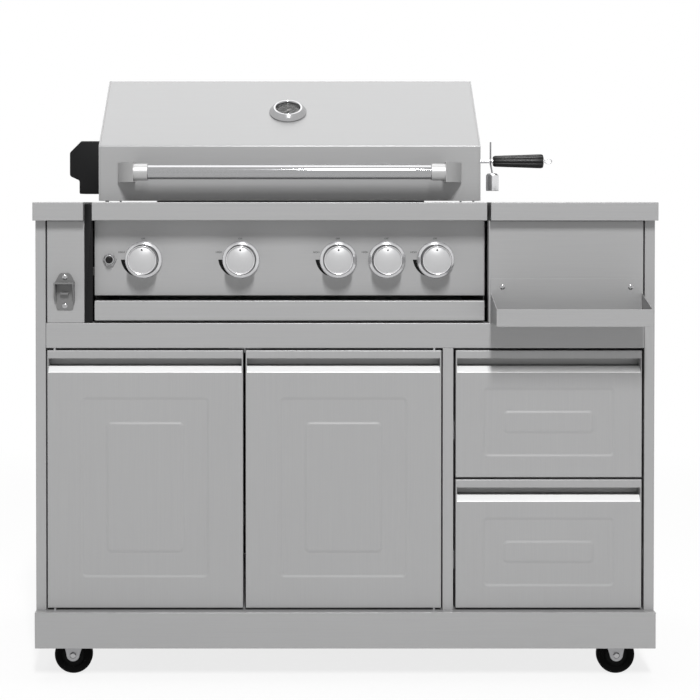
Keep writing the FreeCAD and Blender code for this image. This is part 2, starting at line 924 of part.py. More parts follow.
def drip_tray():
    """A shallow drawer under the firebox with a folded front."""
    x0 = head_left + sheet + drip_side_gap
    x1 = head_right - sheet - drip_side_gap
    front_bottom = rail_top + drip_front_lift
    front = pan(x0, x1, face_depth, face_depth + drip_front_thickness,
                front_bottom, front_bottom + drip_front_height, "+y")
    bottom = rail_top + sheet + slide_gap
    box = pan(x0, x1, face_depth + drip_front_thickness, head_back - drip_back_gap,
              bottom, bottom + drip_tray_height, "+z")
    save("drip_tray", front, box)


def hood_outline():
    """The hood from the side, from its front lower edge over the ridge to its back edge."""
    return [
        (hood_front, hood_bottom),
        (hood_front, hood_fold),
        (hood_ridge_front, hood_bottom + hood_height),
        (hood_ridge_back, hood_bottom + hood_height),
        (hood_back, hood_bottom + hood_back_height),
        (hood_back, hood_bottom + hood_back_lift),
    ]


def slope_frame():
    """Middle point, outward normal of the sloped hood front at the thermometer."""
    run = hood_ridge_front - hood_front
    rise = hood_height - hood_front_height
    start = V(head_centre - gauge_shift, front_y + hood_front + run * gauge_share,
              hood_fold + rise * gauge_share)
    normal = V(0, -rise, run)
    normal.normalize()
    return start, normal


def bent(shape, radius):
    """Rounds the four bends of a hood-shaped prism, leaving its end faces' edges sharp."""
    outline = hood_outline()
    bends = []
    for edge in shape.Edges:
        ends = [vertex.Point for vertex in edge.Vertexes]
        if abs(ends[0].x - ends[-1].x) < hood_width / 2:
            continue
        for depth, height in outline[1:5]:
            if math.hypot(ends[0].y - front_y - depth, ends[0].z - height) < 2 * hood_end_plate:
                bends.append(edge)
    return shape.makeFillet(radius, bends)


def hood_shell():
    """The sheet that wraps the front, slope, top and back between the end plates."""
    outer = hood_outline()
    inner = folded(outer, -sheet)[len(outer):]
    inner[0], inner[-1] = [(depth, height - hood_lift) for depth, height in (inner[0], inner[-1])]
    x0 = hood_left + hood_end_plate
    x1 = hood_right - hood_end_plate
    shell = bent(along_x(outer, x0, x1), hood_bend).cut(bent(along_x(inner, x0, x1), hood_bend - sheet))
    start, normal = slope_frame()
    hole = Part.makeCylinder(gauge_probe_radius + gauge_probe_clearance, 4 * sheet,
                             start - normal * 2 * sheet, normal)
    save("hood_shell", shell.cut(hole))


def hood_ends():
    """End plates with the slot that clears the spit while the hood swings open."""
    x0 = hood_left
    x1 = hood_left + hood_end_plate
    whole = bent(along_x(hood_outline() + [(hood_back - hood_tail, hood_bottom)],
                         hood_left, hood_right), hood_bend)
    plate = whole.common(block(x0, x1, 0, worktop_depth, hood_bottom, hood_bottom + hood_height))
    middle = spit_depth - spit_slot_shift
    slot = block(x0, x1, middle - spit_slot_radius, middle + spit_slot_radius, hood_bottom, spit_height)
    head = rod_x(x0, x1, middle, spit_height, spit_slot_radius)
    pin = rod_x(x0, x1, hinge_depth, hinge_height, hinge_radius + running_gap)
    plate = plate.cut(slot.fuse(head)).cut(pin)
    save("hood_ends", plate, mirrored(plate))


def handle_tube():
    half = ferrule_span / 2 - ferrule_length
    save("handle_tube", rod_x(head_centre - half, head_centre + half, handle_depth, handle_height,
                              handle_radius))


def handle_brackets():
    """Cast arms that slant forward from the hood to the ferrules which hold the tube."""
    foot_out = head_centre - handle_foot_span / 2
    ferrule_out = head_centre - ferrule_span / 2
    outline = [
        (foot_out, hood_front),
        (foot_out, hood_front - handle_foot_edge),
        (ferrule_out - handle_foot_edge / 2, handle_depth - ferrule_radius + handle_foot_edge / 2),
        (ferrule_out, handle_depth - ferrule_radius),
        (ferrule_out, handle_depth + ferrule_radius),
        (foot_out + handle_foot_width, hood_front),
    ]
    half = handle_bracket_height / 2
    arm = along_z(outline, handle_height - half, handle_height + half)
    cup = rod_x(ferrule_out, ferrule_out + ferrule_length, handle_depth, handle_height, ferrule_radius)
    bracket = arm.fuse(cup).removeSplitter()
    save("handle_brackets", bracket, mirrored(bracket))


def disc(start, normal, thickness):
    """A round plate that fills the thermometer's bore."""
    return closed_face(sided_ring(start, normal, gauge_bore, round_sides)).extrude(normal * thickness)


def gauge():
    """Thermometer: a coned case with a probe, dial, glass and a needle on its own spindle."""
    start, normal = slope_frame()
    case = tapered([
        sided_ring(start, normal, gauge_radius, round_sides),
        sided_ring(start + normal * gauge_case_height, normal, gauge_rim_radius, round_sides),
    ])
    case = case.cut(disc(start + normal * gauge_floor, normal, gauge_case_height - gauge_floor))
    probe = Part.makeCylinder(gauge_probe_radius, gauge_probe_length, start, normal * -1)
    save("gauge_case", case.fuse(probe))
    save("gauge_dial", disc(start + normal * gauge_floor, normal, dial_thickness))
    glass_start = start + normal * (gauge_case_height - glass_recess - glass_thickness)
    save("gauge_glass", disc(glass_start, normal, glass_thickness))
    across = V(1, 0, 0)
    up_slope = normal.cross(across)
    base = start + normal * (gauge_floor + dial_thickness + slide_gap)
    half = needle_width / 2
    tips = [(-needle_tail, half), (-needle_tail, -half), (needle_length, 0)]
    corners = [base + up_slope * along + across * aside for along, aside in tips]
    needle = closed_face(corners).extrude(normal * needle_thickness)
    hub = closed_face(sided_ring(base, normal, needle_hub_radius, small_sides)).extrude(
        normal * needle_hub_height)
    pointer = needle.fuse(hub).removeSplitter()
    pointer.rotate(base, normal, needle_rest_turn)
    save("gauge_needle", pointer)


def end_brackets():
    """Hinge ears with their bolts, the spit motor's plate and the spit's support at the right."""
    ear_left = hood_left + hood_end_plate + hinge_side_gap
    ear_right = ear_left + hinge_ear
    ear = block(ear_left, ear_right, hinge_depth - hinge_ear_front, hinge_depth + hinge_ear_back,
                worktop_top, hinge_height + hinge_ear_top)
    head_end = hood_left - hinge_side_gap
    pin = rod_x(head_end, ear_left, hinge_depth, hinge_height, hinge_radius)
    head = along_x(hexagon(hinge_depth, hinge_height, hinge_head_width), head_end - hinge_head, head_end)
    hinge = ear.fuse(pin).fuse(head).removeSplitter()
    plate_left = head_left - bracket_plate
    motor_plate = block(plate_left, head_left, spit_depth - motor_plate_width / 2,
                        spit_depth + motor_plate_width / 2, worktop_under, spit_height + motor_plate_rise)
    half_hole = motor_plate_hole / 2
    motor_plate = motor_plate.cut(block(plate_left, head_left, spit_depth - half_hole,
                                        spit_depth + half_hole, spit_height - half_hole,
                                        spit_height + half_hole))
    half_notch = spit_radius + running_gap
    support = [
        (spit_depth - support_width / 2, worktop_under),
        (spit_depth - support_width / 2, spit_height + support_rise),
        (spit_depth - half_notch, spit_height + support_rise),
        (spit_depth - half_notch, spit_height - half_notch),
        (spit_depth + half_notch, spit_height - half_notch),
        (spit_depth + half_notch, spit_height + support_rise),
        (spit_depth + support_width / 2, spit_height + support_rise),
        (spit_depth + support_width / 2, worktop_under),
    ]
    save("end_brackets", hinge, mirrored(hinge), motor_plate,
         along_x(support, head_right, head_right + bracket_plate))


def rotisserie_motor():
    """Moulded motor case, stepped at its outer side, with a socket for the spit."""
    right = head_left - bracket_plate
    left = right - motor_width
    top = spit_height + motor_above_spit
    bottom = top - motor_height
    outline = [
        (right, bottom),
        (right, top),
        (left + motor_corner, top),
        (left, top - motor_corner),
        (left - motor_bulge, top - motor_bulge_start),
        (left - motor_bulge, top - motor_bulge_end),
        (left, top - motor_bulge_end - motor_bulge_slope),
        (left, bottom),
    ]
    case = along_y(outline, spit_depth - motor_depth / 2, spit_depth + motor_depth / 2)
    socket = rod_x(right - spit_in_motor, right, spit_depth, spit_height, spit_radius + running_gap)
    save("rotisserie_motor", case.cut(socket))


def ribbed_ring(x, radius):
    """Corners round the spit whose distance from it goes up and down once for each rib."""
    corners = []
    for step in range(2 * spit_handle_ribs):
        angle = math.pi * step / spit_handle_ribs
        reach = radius * (1 - spit_handle_groove * (step % 2))
        corners.append(V(x, front_y + spit_depth + reach * math.cos(angle),
                         spit_height + reach * math.sin(angle)))
    return corners


def spit():
    """The rod from the motor to the handle, and the ribbed handle with its hanging eye."""
    start = head_left - bracket_plate - spit_in_motor + slide_gap
    save("spit_rod", rod_x(start, spit_handle_start, spit_depth, spit_height, spit_radius))
    collar = spit_handle_start + spit_handle_collar
    handle = tapered([ribbed_ring(spit_handle_start, spit_handle_neck),
                      ribbed_ring(collar, spit_handle_small),
                      ribbed_ring(spit_handle_end, spit_handle_large)])
    half = eye_wire / 2
    eye_x = spit_handle_end + eye_stalk + eye_radius
    centre = V(eye_x, front_y + spit_depth - half, spit_height)
    ring, hole = [closed_face(sided_ring(centre, V(0, 1, 0), radius, small_sides)).extrude(V(0, eye_wire, 0))
                  for radius in (eye_radius, eye_radius - eye_wire)]
    ring = ring.cut(hole)
    stalk = block(spit_handle_end, eye_x - eye_radius + half, spit_depth - half, spit_depth + half,
                  spit_height - half, spit_height + half)
    save("spit_handle", handle, ring.fuse(stalk).removeSplitter())


def meat_forks():
    """Two four-pronged forks that face each other on the spit."""
    solids = []
    half_bar = fork_bar / 2
    half_prong = fork_prong_side / 2
    half_hub = fork_hub_side / 2
    for side in (-1, 1):
        x = head_centre + side * fork_span / 2
        hub = block(x - fork_hub_length / 2, x + fork_hub_length / 2, spit_depth - half_hub,
                    spit_depth + half_hub, spit_height - half_hub, spit_height + half_hub)
        reach = fork_spread + half_prong
        cross = block(x - half_bar, x + half_bar, spit_depth - reach, spit_depth + reach,
                      spit_height - half_bar, spit_height + half_bar)
        upright = block(x - half_bar, x + half_bar, spit_depth - half_bar, spit_depth + half_bar,
                        spit_height - reach, spit_height + reach)
        fork = hub.fuse(cross).fuse(upright)
        x0 = min(x, x - side * fork_prong_length)
        for aside, up in ((1, 0), (-1, 0), (0, 1), (0, -1)):
            depth = spit_depth + aside * fork_spread
            height = spit_height + up * fork_spread
            fork = fork.fuse(block(x0, x0 + fork_prong_length, depth - half_prong, depth + half_prong,
                                   height - half_prong, height + half_prong))
        bore = rod_x(x - fork_hub_length / 2, x + fork_hub_length / 2, spit_depth, spit_height,
                     spit_radius + fork_bore_gap)
        solids.append(fork.removeSplitter().cut(bore))
    save("meat_forks", *solids)


def counterweight():
    """A wire with an eye round the spit and a turned weight on its lower end."""
    half = spit_radius + weight_eye_wall
    half_length = weight_eye_length / 2
    eye = block(counterweight_x - half_length, counterweight_x + half_length, spit_depth - half,
                spit_depth + half, spit_height - half, spit_height + half)
    weight_top = spit_height - counterweight_drop
    foot = sided_ring(V(counterweight_x, front_y + spit_depth, weight_top), V(0, 0, 1),
                      weight_wire_radius, small_sides)
    wire = closed_face(foot).extrude(V(0, 0, counterweight_drop + weight_wire_rise))
    bore = rod_x(counterweight_x - half_length, counterweight_x + half_length, spit_depth, spit_height,
                 spit_radius + fork_bore_gap)
    top = sided_ring(V(counterweight_x, front_y + spit_depth, weight_top), V(0, 0, 1),
                     counterweight_radius, round_sides)
    weight = closed_face(top).extrude(V(0, 0, -counterweight_length))
    save("counterweight", wire.fuse(eye).cut(bore), weight)


def condiment_tray():
    """A folded tray hung on the right front panel: high back, sloping sides and a front lip."""
    back = face_depth - sheet
    outer = [
        (face_depth, rail_top),
        (face_depth, rail_top + tray_back_height),
        (back, rail_top + tray_back_height),
        (back, rail_top + tray_side_height),
        (-tray_depth, rail_top + tray_lip_height),
        (-tray_depth, rail_top),
    ]
    inside = block(tray_left + sheet, tray_right - sheet, sheet - tray_depth, back,
                   rail_top + sheet, rail_top + tray_back_height)
    save("condiment_tray", along_x(outer, tray_left, tray_right).cut(inside))


def bottle_opener():
    """Cast opener: a waisted plate, a hooded catcher open at the bottom and a tooth behind it."""
    plate_front = face_depth - opener_plate
    right_side = [
        (opener_foot_width / 2 - opener_corner, opener_bottom),
        (opener_foot_width / 2, opener_bottom + opener_corner),
        (opener_width / 2, opener_lip),
        (opener_shoulder_width / 2, opener_top - opener_corner),
        (opener_top_width / 2, opener_top),
    ]
    outline = [(opener_x + aside, height) for aside, height in right_side]
    outline += [(opener_x - aside, height) for aside, height in right_side[::-1]]
    plate = along_y(outline, plate_front, face_depth)
    lip_front = face_depth - opener_reach
    hood_foot = opener_lip - opener_hood_height
    catcher = [
        (plate_front, opener_lip),
        (lip_front, opener_lip),
        (lip_front, opener_lip - opener_lip_edge),
        (plate_front - opener_hood_foot, hood_foot),
        (plate_front, hood_foot),
    ]
    half = opener_width / 2
    hood = along_x(catcher, opener_x - half, opener_x + half)
    mouth = block(opener_x - half + opener_wall, opener_x + half - opener_wall, lip_front, plate_front,
                  hood_foot, opener_lip - opener_wall)
    tooth_top = opener_lip - opener_tooth_drop
    tooth = block(opener_x - opener_tooth_width / 2, opener_x + opener_tooth_width / 2,
                  plate_front - opener_tooth_reach, plate_front,
                  tooth_top - opener_tooth_thickness, tooth_top)
    save("bottle_opener", plate.fuse(hood.cut(mouth)).fuse(tooth).removeSplitter())


def panel_screws():
    """Round screw heads on the opener and on the tray's back."""
    places = [(opener_x, height, face_depth - opener_plate) for height in opener_screws]
    places += [(x, rail_top + tray_screw_height, face_depth - sheet) for x in tray_screw_places]
    toward_front = V(0, -1, 0)
    heads = []
    for x, height, seat in places:
        outline = sided_ring(V(x, front_y + seat, height), toward_front, screw_head_radius, small_sides)
        heads.append(closed_face(outline).extrude(toward_front * screw_head_height))
    save("panel_screws", *heads)


def caster_places():
    """Side, depth and outward direction of each caster's kingpin."""
    x = half_top - caster_from_side
    rear = body_back - caster_from_front
    return (
        ("front_left", -x, caster_from_front, -1),
        ("front_right", x, caster_from_front, 1),
        ("rear_left", -x, rear, -1),
        ("rear_right", x, rear, 1),
    )


def caster_mounts():
    """Two channels under the floor, the casters' plates and their kingpins."""
    solids = []
    half = channel_width / 2
    under = base_top - sheet
    for x in (caster_from_side - half_top, half_top - caster_from_side):
        outer = block(x - half, x + half, sheet, body_back - sheet, caster_height, under)
        inner = block(x - half + channel_sheet, x + half - channel_sheet, sheet, body_back - sheet,
                      caster_height + channel_sheet, under)
        solids.append(outer.cut(inner))
    plate_under = caster_height - caster_plate
    half_length = caster_plate_length / 2
    half_width = caster_plate_width / 2
    pin_end = plate_under - fork_web - 2 * slide_gap
    for _, x, depth, _ in caster_places():
        plate = block(x - half_length, x + half_length, depth - half_width, depth + half_width,
                      plate_under, caster_height)
        pin = rod_z(x, depth, pin_end, plate_under, kingpin_radius)
        head = along_z(hexagon(x, depth, kingpin_head_width), pin_end - kingpin_head_height, pin_end)
        solids.append(plate.fuse(pin).fuse(head))
    save("caster_mounts", *solids)


def casters():
    """Pressed forks that trail outward, each with its axle, and the wheels that turn on them."""
    web_top = caster_height - caster_plate - slide_gap
    web_bottom = web_top - fork_web
    half_gap = wheel_width / 2 + fork_side_gap
    reach = half_gap + fork_sheet
    for name, x, depth, out in caster_places():
        wheel_x = x + out * caster_trail
        cheek = [
            (wheel_x + out * fork_cheek_half, wheel_radius - fork_cheek_half),
            (wheel_x + out * fork_cheek_half, wheel_radius),
            (wheel_x + out * fork_cheek_shoulder, wheel_radius + fork_cheek_rise),
            (wheel_x, web_top),
            (x - out * fork_web_back, web_top),
            (x - out * fork_web_back, web_bottom),
            (x, web_bottom - fork_cheek_throat),
            (wheel_x - out * fork_cheek_half, wheel_radius),
            (wheel_x - out * fork_cheek_half, wheel_radius - fork_cheek_half),
        ]
        back = x - out * fork_web_back
        fork = block(min(back, wheel_x), max(back, wheel_x), depth - reach, depth + reach,
                     web_bottom, web_top)
        for d0 in (depth - reach, depth + half_gap):
            fork = fork.fuse(along_y(cheek, d0, d0 + fork_sheet))
        fork = fork.fuse(rod_y(wheel_x, wheel_radius, depth - half_gap, depth + half_gap, axle_radius))
        nut = hexagon(wheel_x, wheel_radius, axle_nut_width)
        for d0 in (depth - reach - axle_nut_height, depth + reach):
            fork = fork.fuse(along_y(nut, d0, d0 + axle_nut_height))
        bore = rod_z(x, depth, web_bottom, web_top, kingpin_radius + running_gap)
        save("caster_fork_" + name, fork.removeSplitter().cut(bore))
        half = wheel_width / 2
        tread = sided_ring(V(wheel_x, front_y + depth - half, wheel_radius), V(0, 1, 0), wheel_radius,
                           round_sides)
        tyre = closed_face(tread).extrude(V(0, wheel_width, 0))
        save("caster_wheel_" + name, tyre.cut(rod_y(wheel_x, wheel_radius, depth - half, depth + half,
                                                    axle_radius + running_gap)))


base_plinth()
side_panels()
centre_divider()
top_rails()
front_panels()
back_panel()
worktops()
doors()
door_pivots()
drawers()
drawer_runners()
grill_frame()
control_panel()
control_bezels()
knobs()
igniter_button()
gas_valves()
firebox()
burner_tubes()
flame_tamers()
cooking_grates()
rear_burner()
drip_tray()
hood_shell()
hood_ends()
handle_tube()
handle_brackets()
gauge()
end_brackets()
rotisserie_motor()
spit()
meat_forks()
counterweight()
condiment_tray()
bottle_opener()
panel_screws()
caster_mounts()
casters()
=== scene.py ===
# %% [markdown]
# The outdoor kitchen island, dressed for its portrait. The construction comes in as a fixed frame:
# every piece already has its true size and place. This lesson adds the finishes, the rounded bends
# and the small parts that a solid model leaves out, then a camera and soft studio light.

import json
import math

import bmesh
import bpy
import numpy as np
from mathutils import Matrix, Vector

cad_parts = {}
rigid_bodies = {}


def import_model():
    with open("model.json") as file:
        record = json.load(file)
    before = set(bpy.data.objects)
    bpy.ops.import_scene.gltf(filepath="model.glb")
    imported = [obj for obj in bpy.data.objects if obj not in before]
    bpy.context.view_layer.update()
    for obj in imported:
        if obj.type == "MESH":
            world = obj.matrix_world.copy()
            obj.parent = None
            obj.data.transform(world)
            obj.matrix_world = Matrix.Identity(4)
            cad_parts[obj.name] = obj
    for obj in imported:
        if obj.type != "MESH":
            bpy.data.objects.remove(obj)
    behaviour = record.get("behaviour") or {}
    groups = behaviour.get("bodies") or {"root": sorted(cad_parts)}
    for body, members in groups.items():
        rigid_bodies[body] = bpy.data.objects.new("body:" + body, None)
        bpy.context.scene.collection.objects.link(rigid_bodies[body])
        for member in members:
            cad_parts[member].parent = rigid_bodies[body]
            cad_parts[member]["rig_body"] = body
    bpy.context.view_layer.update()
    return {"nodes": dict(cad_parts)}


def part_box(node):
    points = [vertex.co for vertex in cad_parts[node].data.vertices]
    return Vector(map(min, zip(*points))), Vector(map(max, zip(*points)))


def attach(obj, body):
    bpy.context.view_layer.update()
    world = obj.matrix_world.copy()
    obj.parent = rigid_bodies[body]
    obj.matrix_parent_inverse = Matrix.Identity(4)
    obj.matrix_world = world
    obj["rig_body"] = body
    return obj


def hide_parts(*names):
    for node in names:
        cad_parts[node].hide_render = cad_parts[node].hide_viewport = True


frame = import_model()
nodes = frame["nodes"]
MM = 0.001

# %% [markdown]
# A cabinet maker measures depth from the front edge of the worktop. The frame's origin is under the
# middle of the object, so every depth could be worked out from there, but one value that holds the
# front edge keeps all the numbers below readable. Only the condiment tray, the opener and the handle
# reach past it.

# %% The worktop's front edge
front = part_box("left_worktop")[0].y

# %% [markdown]
# A finish is a small program of nodes. It could be wired by hand, one link after another, but then
# its formula is hard to see. This class wraps one value inside a shader, so that ordinary arithmetic
# adds the Math nodes.

# %% Shader arithmetic
class Amount:
    """A single number in a shader; + - * / on it add Math nodes."""

    def __init__(self, finish, socket):
        self.finish = finish
        self.socket = socket

    def maths(self, operation, *others, clamp=False):
        """One Math node on this amount and the others, held between 0 and 1 if clamped."""
        settings = {"operation": operation, "use_clamp": clamp}
        return Amount(self.finish, self.finish.node("ShaderNodeMath", settings, (self, *others)).outputs[0])

    def __add__(self, other):
        return self.maths("ADD", other)

    __radd__ = __add__

    def __mul__(self, other):
        return self.maths("MULTIPLY", other)

    __rmul__ = __mul__

    def __sub__(self, other):
        return self.maths("SUBTRACT", other)

    def __rsub__(self, other):
        return (self * -1.0) + other

    def __truediv__(self, other):
        return self.maths("DIVIDE", other)

    def between(self, low, high):
        """0 below low, 1 above high, straight in between."""
        return ((self - low) / (high - low)).maths("MULTIPLY", 1.0, clamp=True)


print("shader arithmetic ready")

# %% [markdown]
# Every finish is one Principled shader and a few nodes that feed it. A node group would hide what it
# does, so this class makes any node from its type, its settings and its inputs. Its other helpers
# are what all the surfaces need: a place on the object, noise, a colour between two, and a bump.

# %% Finishes as objects
class Finish:
    """A material built round one Principled shader, whose constants are set on its own sockets."""

    def __init__(self, name, colour, roughness, metallic=0.0, **constants):
        self.material = bpy.data.materials.new(name)
        self.material.use_nodes = True
        self.tree = self.material.node_tree
        self.shader = self.tree.nodes["Principled BSDF"]
        self.shader.inputs["Base Color"].default_value = (*colour, 1.0)
        self.shader.inputs["Roughness"].default_value = roughness
        self.shader.inputs["Metallic"].default_value = metallic
        for socket, value in constants.items():
            self.shader.inputs[socket.replace("_", " ")].default_value = value

    def node(self, kind, settings=None, inputs=()):
        """Any node: its type, its settings, then the values or links of its inputs."""
        made = self.tree.nodes.new(kind)
        for key, value in (settings or {}).items():
            setattr(made, key, value)
        pairs = inputs.items() if isinstance(inputs, dict) else enumerate(inputs)
        for key, value in pairs:
            if isinstance(value, Amount):
                value = value.socket
            if isinstance(value, bpy.types.NodeSocket):
                self.tree.links.new(value, made.inputs[key])
            else:
                made.inputs[key].default_value = value
        return made

    def feed(self, socket, source):
        """Links a value or a colour to one of the shader's own sockets."""
        source = source.socket if isinstance(source, Amount) else source
        self.tree.links.new(source, self.shader.inputs[socket])

    def spot(self, stretch=(1.0, 1.0, 1.0), shift=(0.0, 0.0, 0.0)):
        """Object coordinates in metres, shifted and stretched."""
        coordinates = self.node("ShaderNodeTexCoord").outputs["Object"]
        inputs = {"Vector": coordinates, "Location": shift, "Scale": stretch}
        return self.node("ShaderNodeMapping", None, inputs).outputs[0]

    def noise(self, stretch, detail=2.0, roughness=0.5, shift=(0.0, 0.0, 0.0)):
        """Noise from 0 to 1 whose grains are one over the stretch long, in metres."""
        inputs = {"Vector": self.spot(stretch, shift), "Scale": 1.0, "Detail": detail, "Roughness": roughness}
        return Amount(self, self.node("ShaderNodeTexNoise", None, inputs).outputs[0])

    def tint(self, amount, low, high):
        """A colour that goes from low to high as the amount goes from 0 to 1."""
        mix = self.node("ShaderNodeMix", {"data_type": "RGBA"})
        self.tree.links.new(amount.socket, mix.inputs["Factor"])
        mix.inputs[6].default_value = (*low, 1.0)
        mix.inputs[7].default_value = (*high, 1.0)
        return mix.outputs[2]

    def bump(self, amount, distance, strength=1.0):
        """Tilts the normals as if the surface rose by distance, in metres, where the amount is 1."""
        inputs = {"Height": amount, "Distance": distance, "Strength": strength}
        self.feed("Normal", self.node("ShaderNodeBump", None, inputs).outputs[0])


print("finishes can be built")

# %% [markdown]
# Nearly all that shows is brushed stainless sheet. A belt leaves fine scratches one way. They could
# come from an anisotropic shader or a photograph of steel, but the first needs tangents on every
# sheet and the second repeats. Noise stretched over a hundred times along the grain needs neither. It
# moves the roughness a little and the colour less, and a broad noise adds the clouding of real sheet.

# %% Brushed steel
STEEL = (0.312, 0.312, 0.314)
GRAIN = {
    "x": (9.0, 1500.0, 1500.0),
    "y": (1500.0, 9.0, 1500.0),
    "z": (1500.0, 1500.0, 9.0),
}


def brushed_steel(name, grain, colour=STEEL, roughness=0.34, metallic=0.18):
    """Seven tenths scratches and three tenths clouds move the colour by up to a tenth either way, and
    the roughness by 0.22 * (mark - 0.5)."""
    finish = Finish(name, colour, roughness, metallic, Specular_IOR_Level=0.3)
    scratches = finish.noise(GRAIN[grain], detail=3.0, roughness=0.6)
    clouds = finish.noise((2.2, 2.2, 2.2), detail=2.0)
    mark = scratches * 0.7 + clouds * 0.3
    low = tuple(part * 0.90 for part in colour)
    high = tuple(min(part * 1.10, 1.0) for part in colour)
    finish.feed("Base Color", finish.tint(mark, low, high))
    finish.feed("Roughness", (mark - 0.5) * 0.22 + roughness)
    finish.bump(scratches, 0.00004, 0.5)
    return finish.material


steel_x = brushed_steel("steel_brushed_across", "x")
steel_y = brushed_steel("steel_brushed_back", "y")
steel_z = brushed_steel("steel_brushed_upright", "z")
# A paler, nearly non-metallic copy of the steel for the pulls' lips: a painted highlight for the light a
# slanted lip catches.
lip_painted_highlight = brushed_steel("steel_lip_painted_highlight", "x", (0.78, 0.78, 0.78), 0.30, 0.05)
print("steel finishes ready")

# %% [markdown]
# The smaller metal parts are chrome, cast metal, zinc plate, wire, cast iron, and steel that the fire
# has dulled. Each could be a flat colour, but a surface without any variation looks painted. One
# recipe with a fine, even noise serves them all, and only its colour, gloss, grain and depth change.

# %% Other metals
def speckled(name, colour, roughness, metallic, grain, depth, spread=0.12, **constants):
    """A fine, even noise moves the colour by the share spread and the roughness by up to a quarter of
    itself, either way, and lifts the surface by up to the depth."""
    finish = Finish(name, colour, roughness, metallic, **constants)
    speck = finish.noise((grain, grain, grain), detail=3.0)
    low = tuple(part * (1.0 - spread) for part in colour)
    high = tuple(min(part * (1.0 + spread), 1.0) for part in colour)
    finish.feed("Base Color", finish.tint(speck, low, high))
    finish.feed("Roughness", (speck - 0.5) * roughness * 0.5 + roughness)
    if depth:
        finish.bump(speck, depth, 0.6)
    return finish.material


chrome = speckled("chrome_polished", (0.80, 0.80, 0.81), 0.16, 1.0, 60.0, 0.0, 0.02)
gauge_chrome = speckled("gauge_chrome", (0.38, 0.38, 0.385), 0.14, 0.95, 60.0, 0.0, 0.04)
ring_chrome = speckled("ring_chrome", (0.58, 0.58, 0.59), 0.20, 0.70, 60.0, 0.0, 0.02)
# The knob's side wall is coloured dark: painted shade for the wall that stands in shadow between the face and
# the ring.
knob_wall = speckled("knob_wall", (0.14, 0.14, 0.145), 0.24, 0.9, 200.0, 0.0, 0.05)
rod_chrome = speckled("chrome_rod", (0.72, 0.72, 0.73), 0.20, 0.95, 120.0, 0.00001, 0.03)
knob_satin = speckled("knob_satin", (0.42, 0.42, 0.425), 0.36, 0.25, 300.0, 0.0, 0.02)
satin_tube = speckled("tube_satin", (0.34, 0.34, 0.345), 0.06, 0.9, 200.0, 0.0, 0.04)
cast_metal = speckled("cast_metal", (0.40, 0.40, 0.40), 0.42, 0.6, 900.0, 0.00006, 0.08)
dull_cast = speckled("cast_opener", (0.15, 0.15, 0.15), 0.42, 0.35, 900.0, 0.00008, 0.15)
dark_casting = speckled("casting_dark", (0.060, 0.058, 0.056), 0.55, 0.4, 500.0, 0.0001, 0.3)
zinc = speckled("zinc_plate", (0.50, 0.50, 0.51), 0.34, 0.75, 160.0, 0.00003, 0.1)
fork_zinc = speckled("fork_plate", (0.42, 0.42, 0.43), 0.42, 0.35, 160.0, 0.00003, 0.1)
wire_grey = speckled("wire_grey", (0.30, 0.30, 0.31), 0.35, 0.7, 300.0, 0.00002, 0.1)
cast_iron = speckled("cast_iron", (0.022, 0.022, 0.022), 0.62, 0.3, 500.0, 0.0003, 0.3)
fire_steel = speckled("steel_fire_dulled", (0.27, 0.26, 0.25), 0.45, 0.7, 25.0, 0.00005, 0.2)
print("other metals ready")

# %% [markdown]
# The knob dots, the grips and the wheels are moulded black plastic and rubber, and the thermometer has
# a dark dial under glass. The same recipe does them all. Black parts mirror little, so their specular
# level is low, and the glass lets most of the light straight through.

# %% Plastic, rubber, print and glass
black_plastic = speckled("plastic_black", (0.008, 0.008, 0.0085), 0.42, 0.0, 1400.0, 0.00005, 0.2,
                         Specular_IOR_Level=0.12)
grip_black = speckled("grip_black", (0.010, 0.010, 0.010), 0.34, 0.0, 900.0, 0.00002, 0.2,
                      Specular_IOR_Level=0.3)
gloss_black = speckled("plastic_gloss_black", (0.010, 0.010, 0.010), 0.25, 0.0, 400.0, 0.0, 0.1,
                       Specular_IOR_Level=0.15)
rubber = speckled("wheel_rubber", (0.004, 0.004, 0.004), 0.55, 0.0, 700.0, 0.00005, 0.25,
                  Specular_IOR_Level=0.02)
hub_plastic = speckled("wheel_hub", (0.006, 0.006, 0.006), 0.45, 0.0, 700.0, 0.00005, 0.1,
                       Specular_IOR_Level=0.05)
tile_white = speckled("ceramic_tile", (0.60, 0.57, 0.52), 0.7, 0.0, 900.0, 0.0002, 0.1)
print_black = speckled("print_black", (0.006, 0.006, 0.006), 0.60, 0.0, 900.0, 0.0, 0.2,
                       Specular_IOR_Level=0.05)
print_pale = speckled("print_pale", (0.55, 0.55, 0.54), 0.50, 0.0, 900.0, 0.00001, 0.1)
dial_dark = speckled("dial_dark", (0.050, 0.050, 0.050), 0.45, 0.0, 160.0, 0.00002, 0.5)
needle_pale = speckled("needle_pale", (0.30, 0.29, 0.28), 0.40, 0.0, 600.0, 0.00002, 0.1)
clear_glass = speckled("gauge_glass", (0.02, 0.02, 0.02), 0.08, 0.0, 60.0, 0.0, 0.02, Alpha=0.15)
print("all %d finishes so far ready" % len(bpy.data.materials))

# %% [markdown]
# Most new pieces are surfaces worked out from arrays. They could be modelled by hand or built up from
# primitives, but a formula keeps every size in sight and runs as whole arrays. Sizes are written in
# millimetres, counted across, back from the worktop's front edge, and up from the floor. The first
# helpers turn millimetres into places and join the points of a grid with quads.

# %% Places and grids
def place(x, depth, height):
    """Points in metres: each size times 0.001, with the front edge's place added to the depth."""
    return np.stack(np.broadcast_arrays(x, depth, height), axis=-1) * MM + (0.0, front, 0.0)


def limits(name):
    """A node's box in millimetres: two values across, two in depth and two in height."""
    low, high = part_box(name)
    return (low.x / MM, high.x / MM, (low.y - front) / MM, (high.y - front) / MM, low.z / MM, high.z / MM)


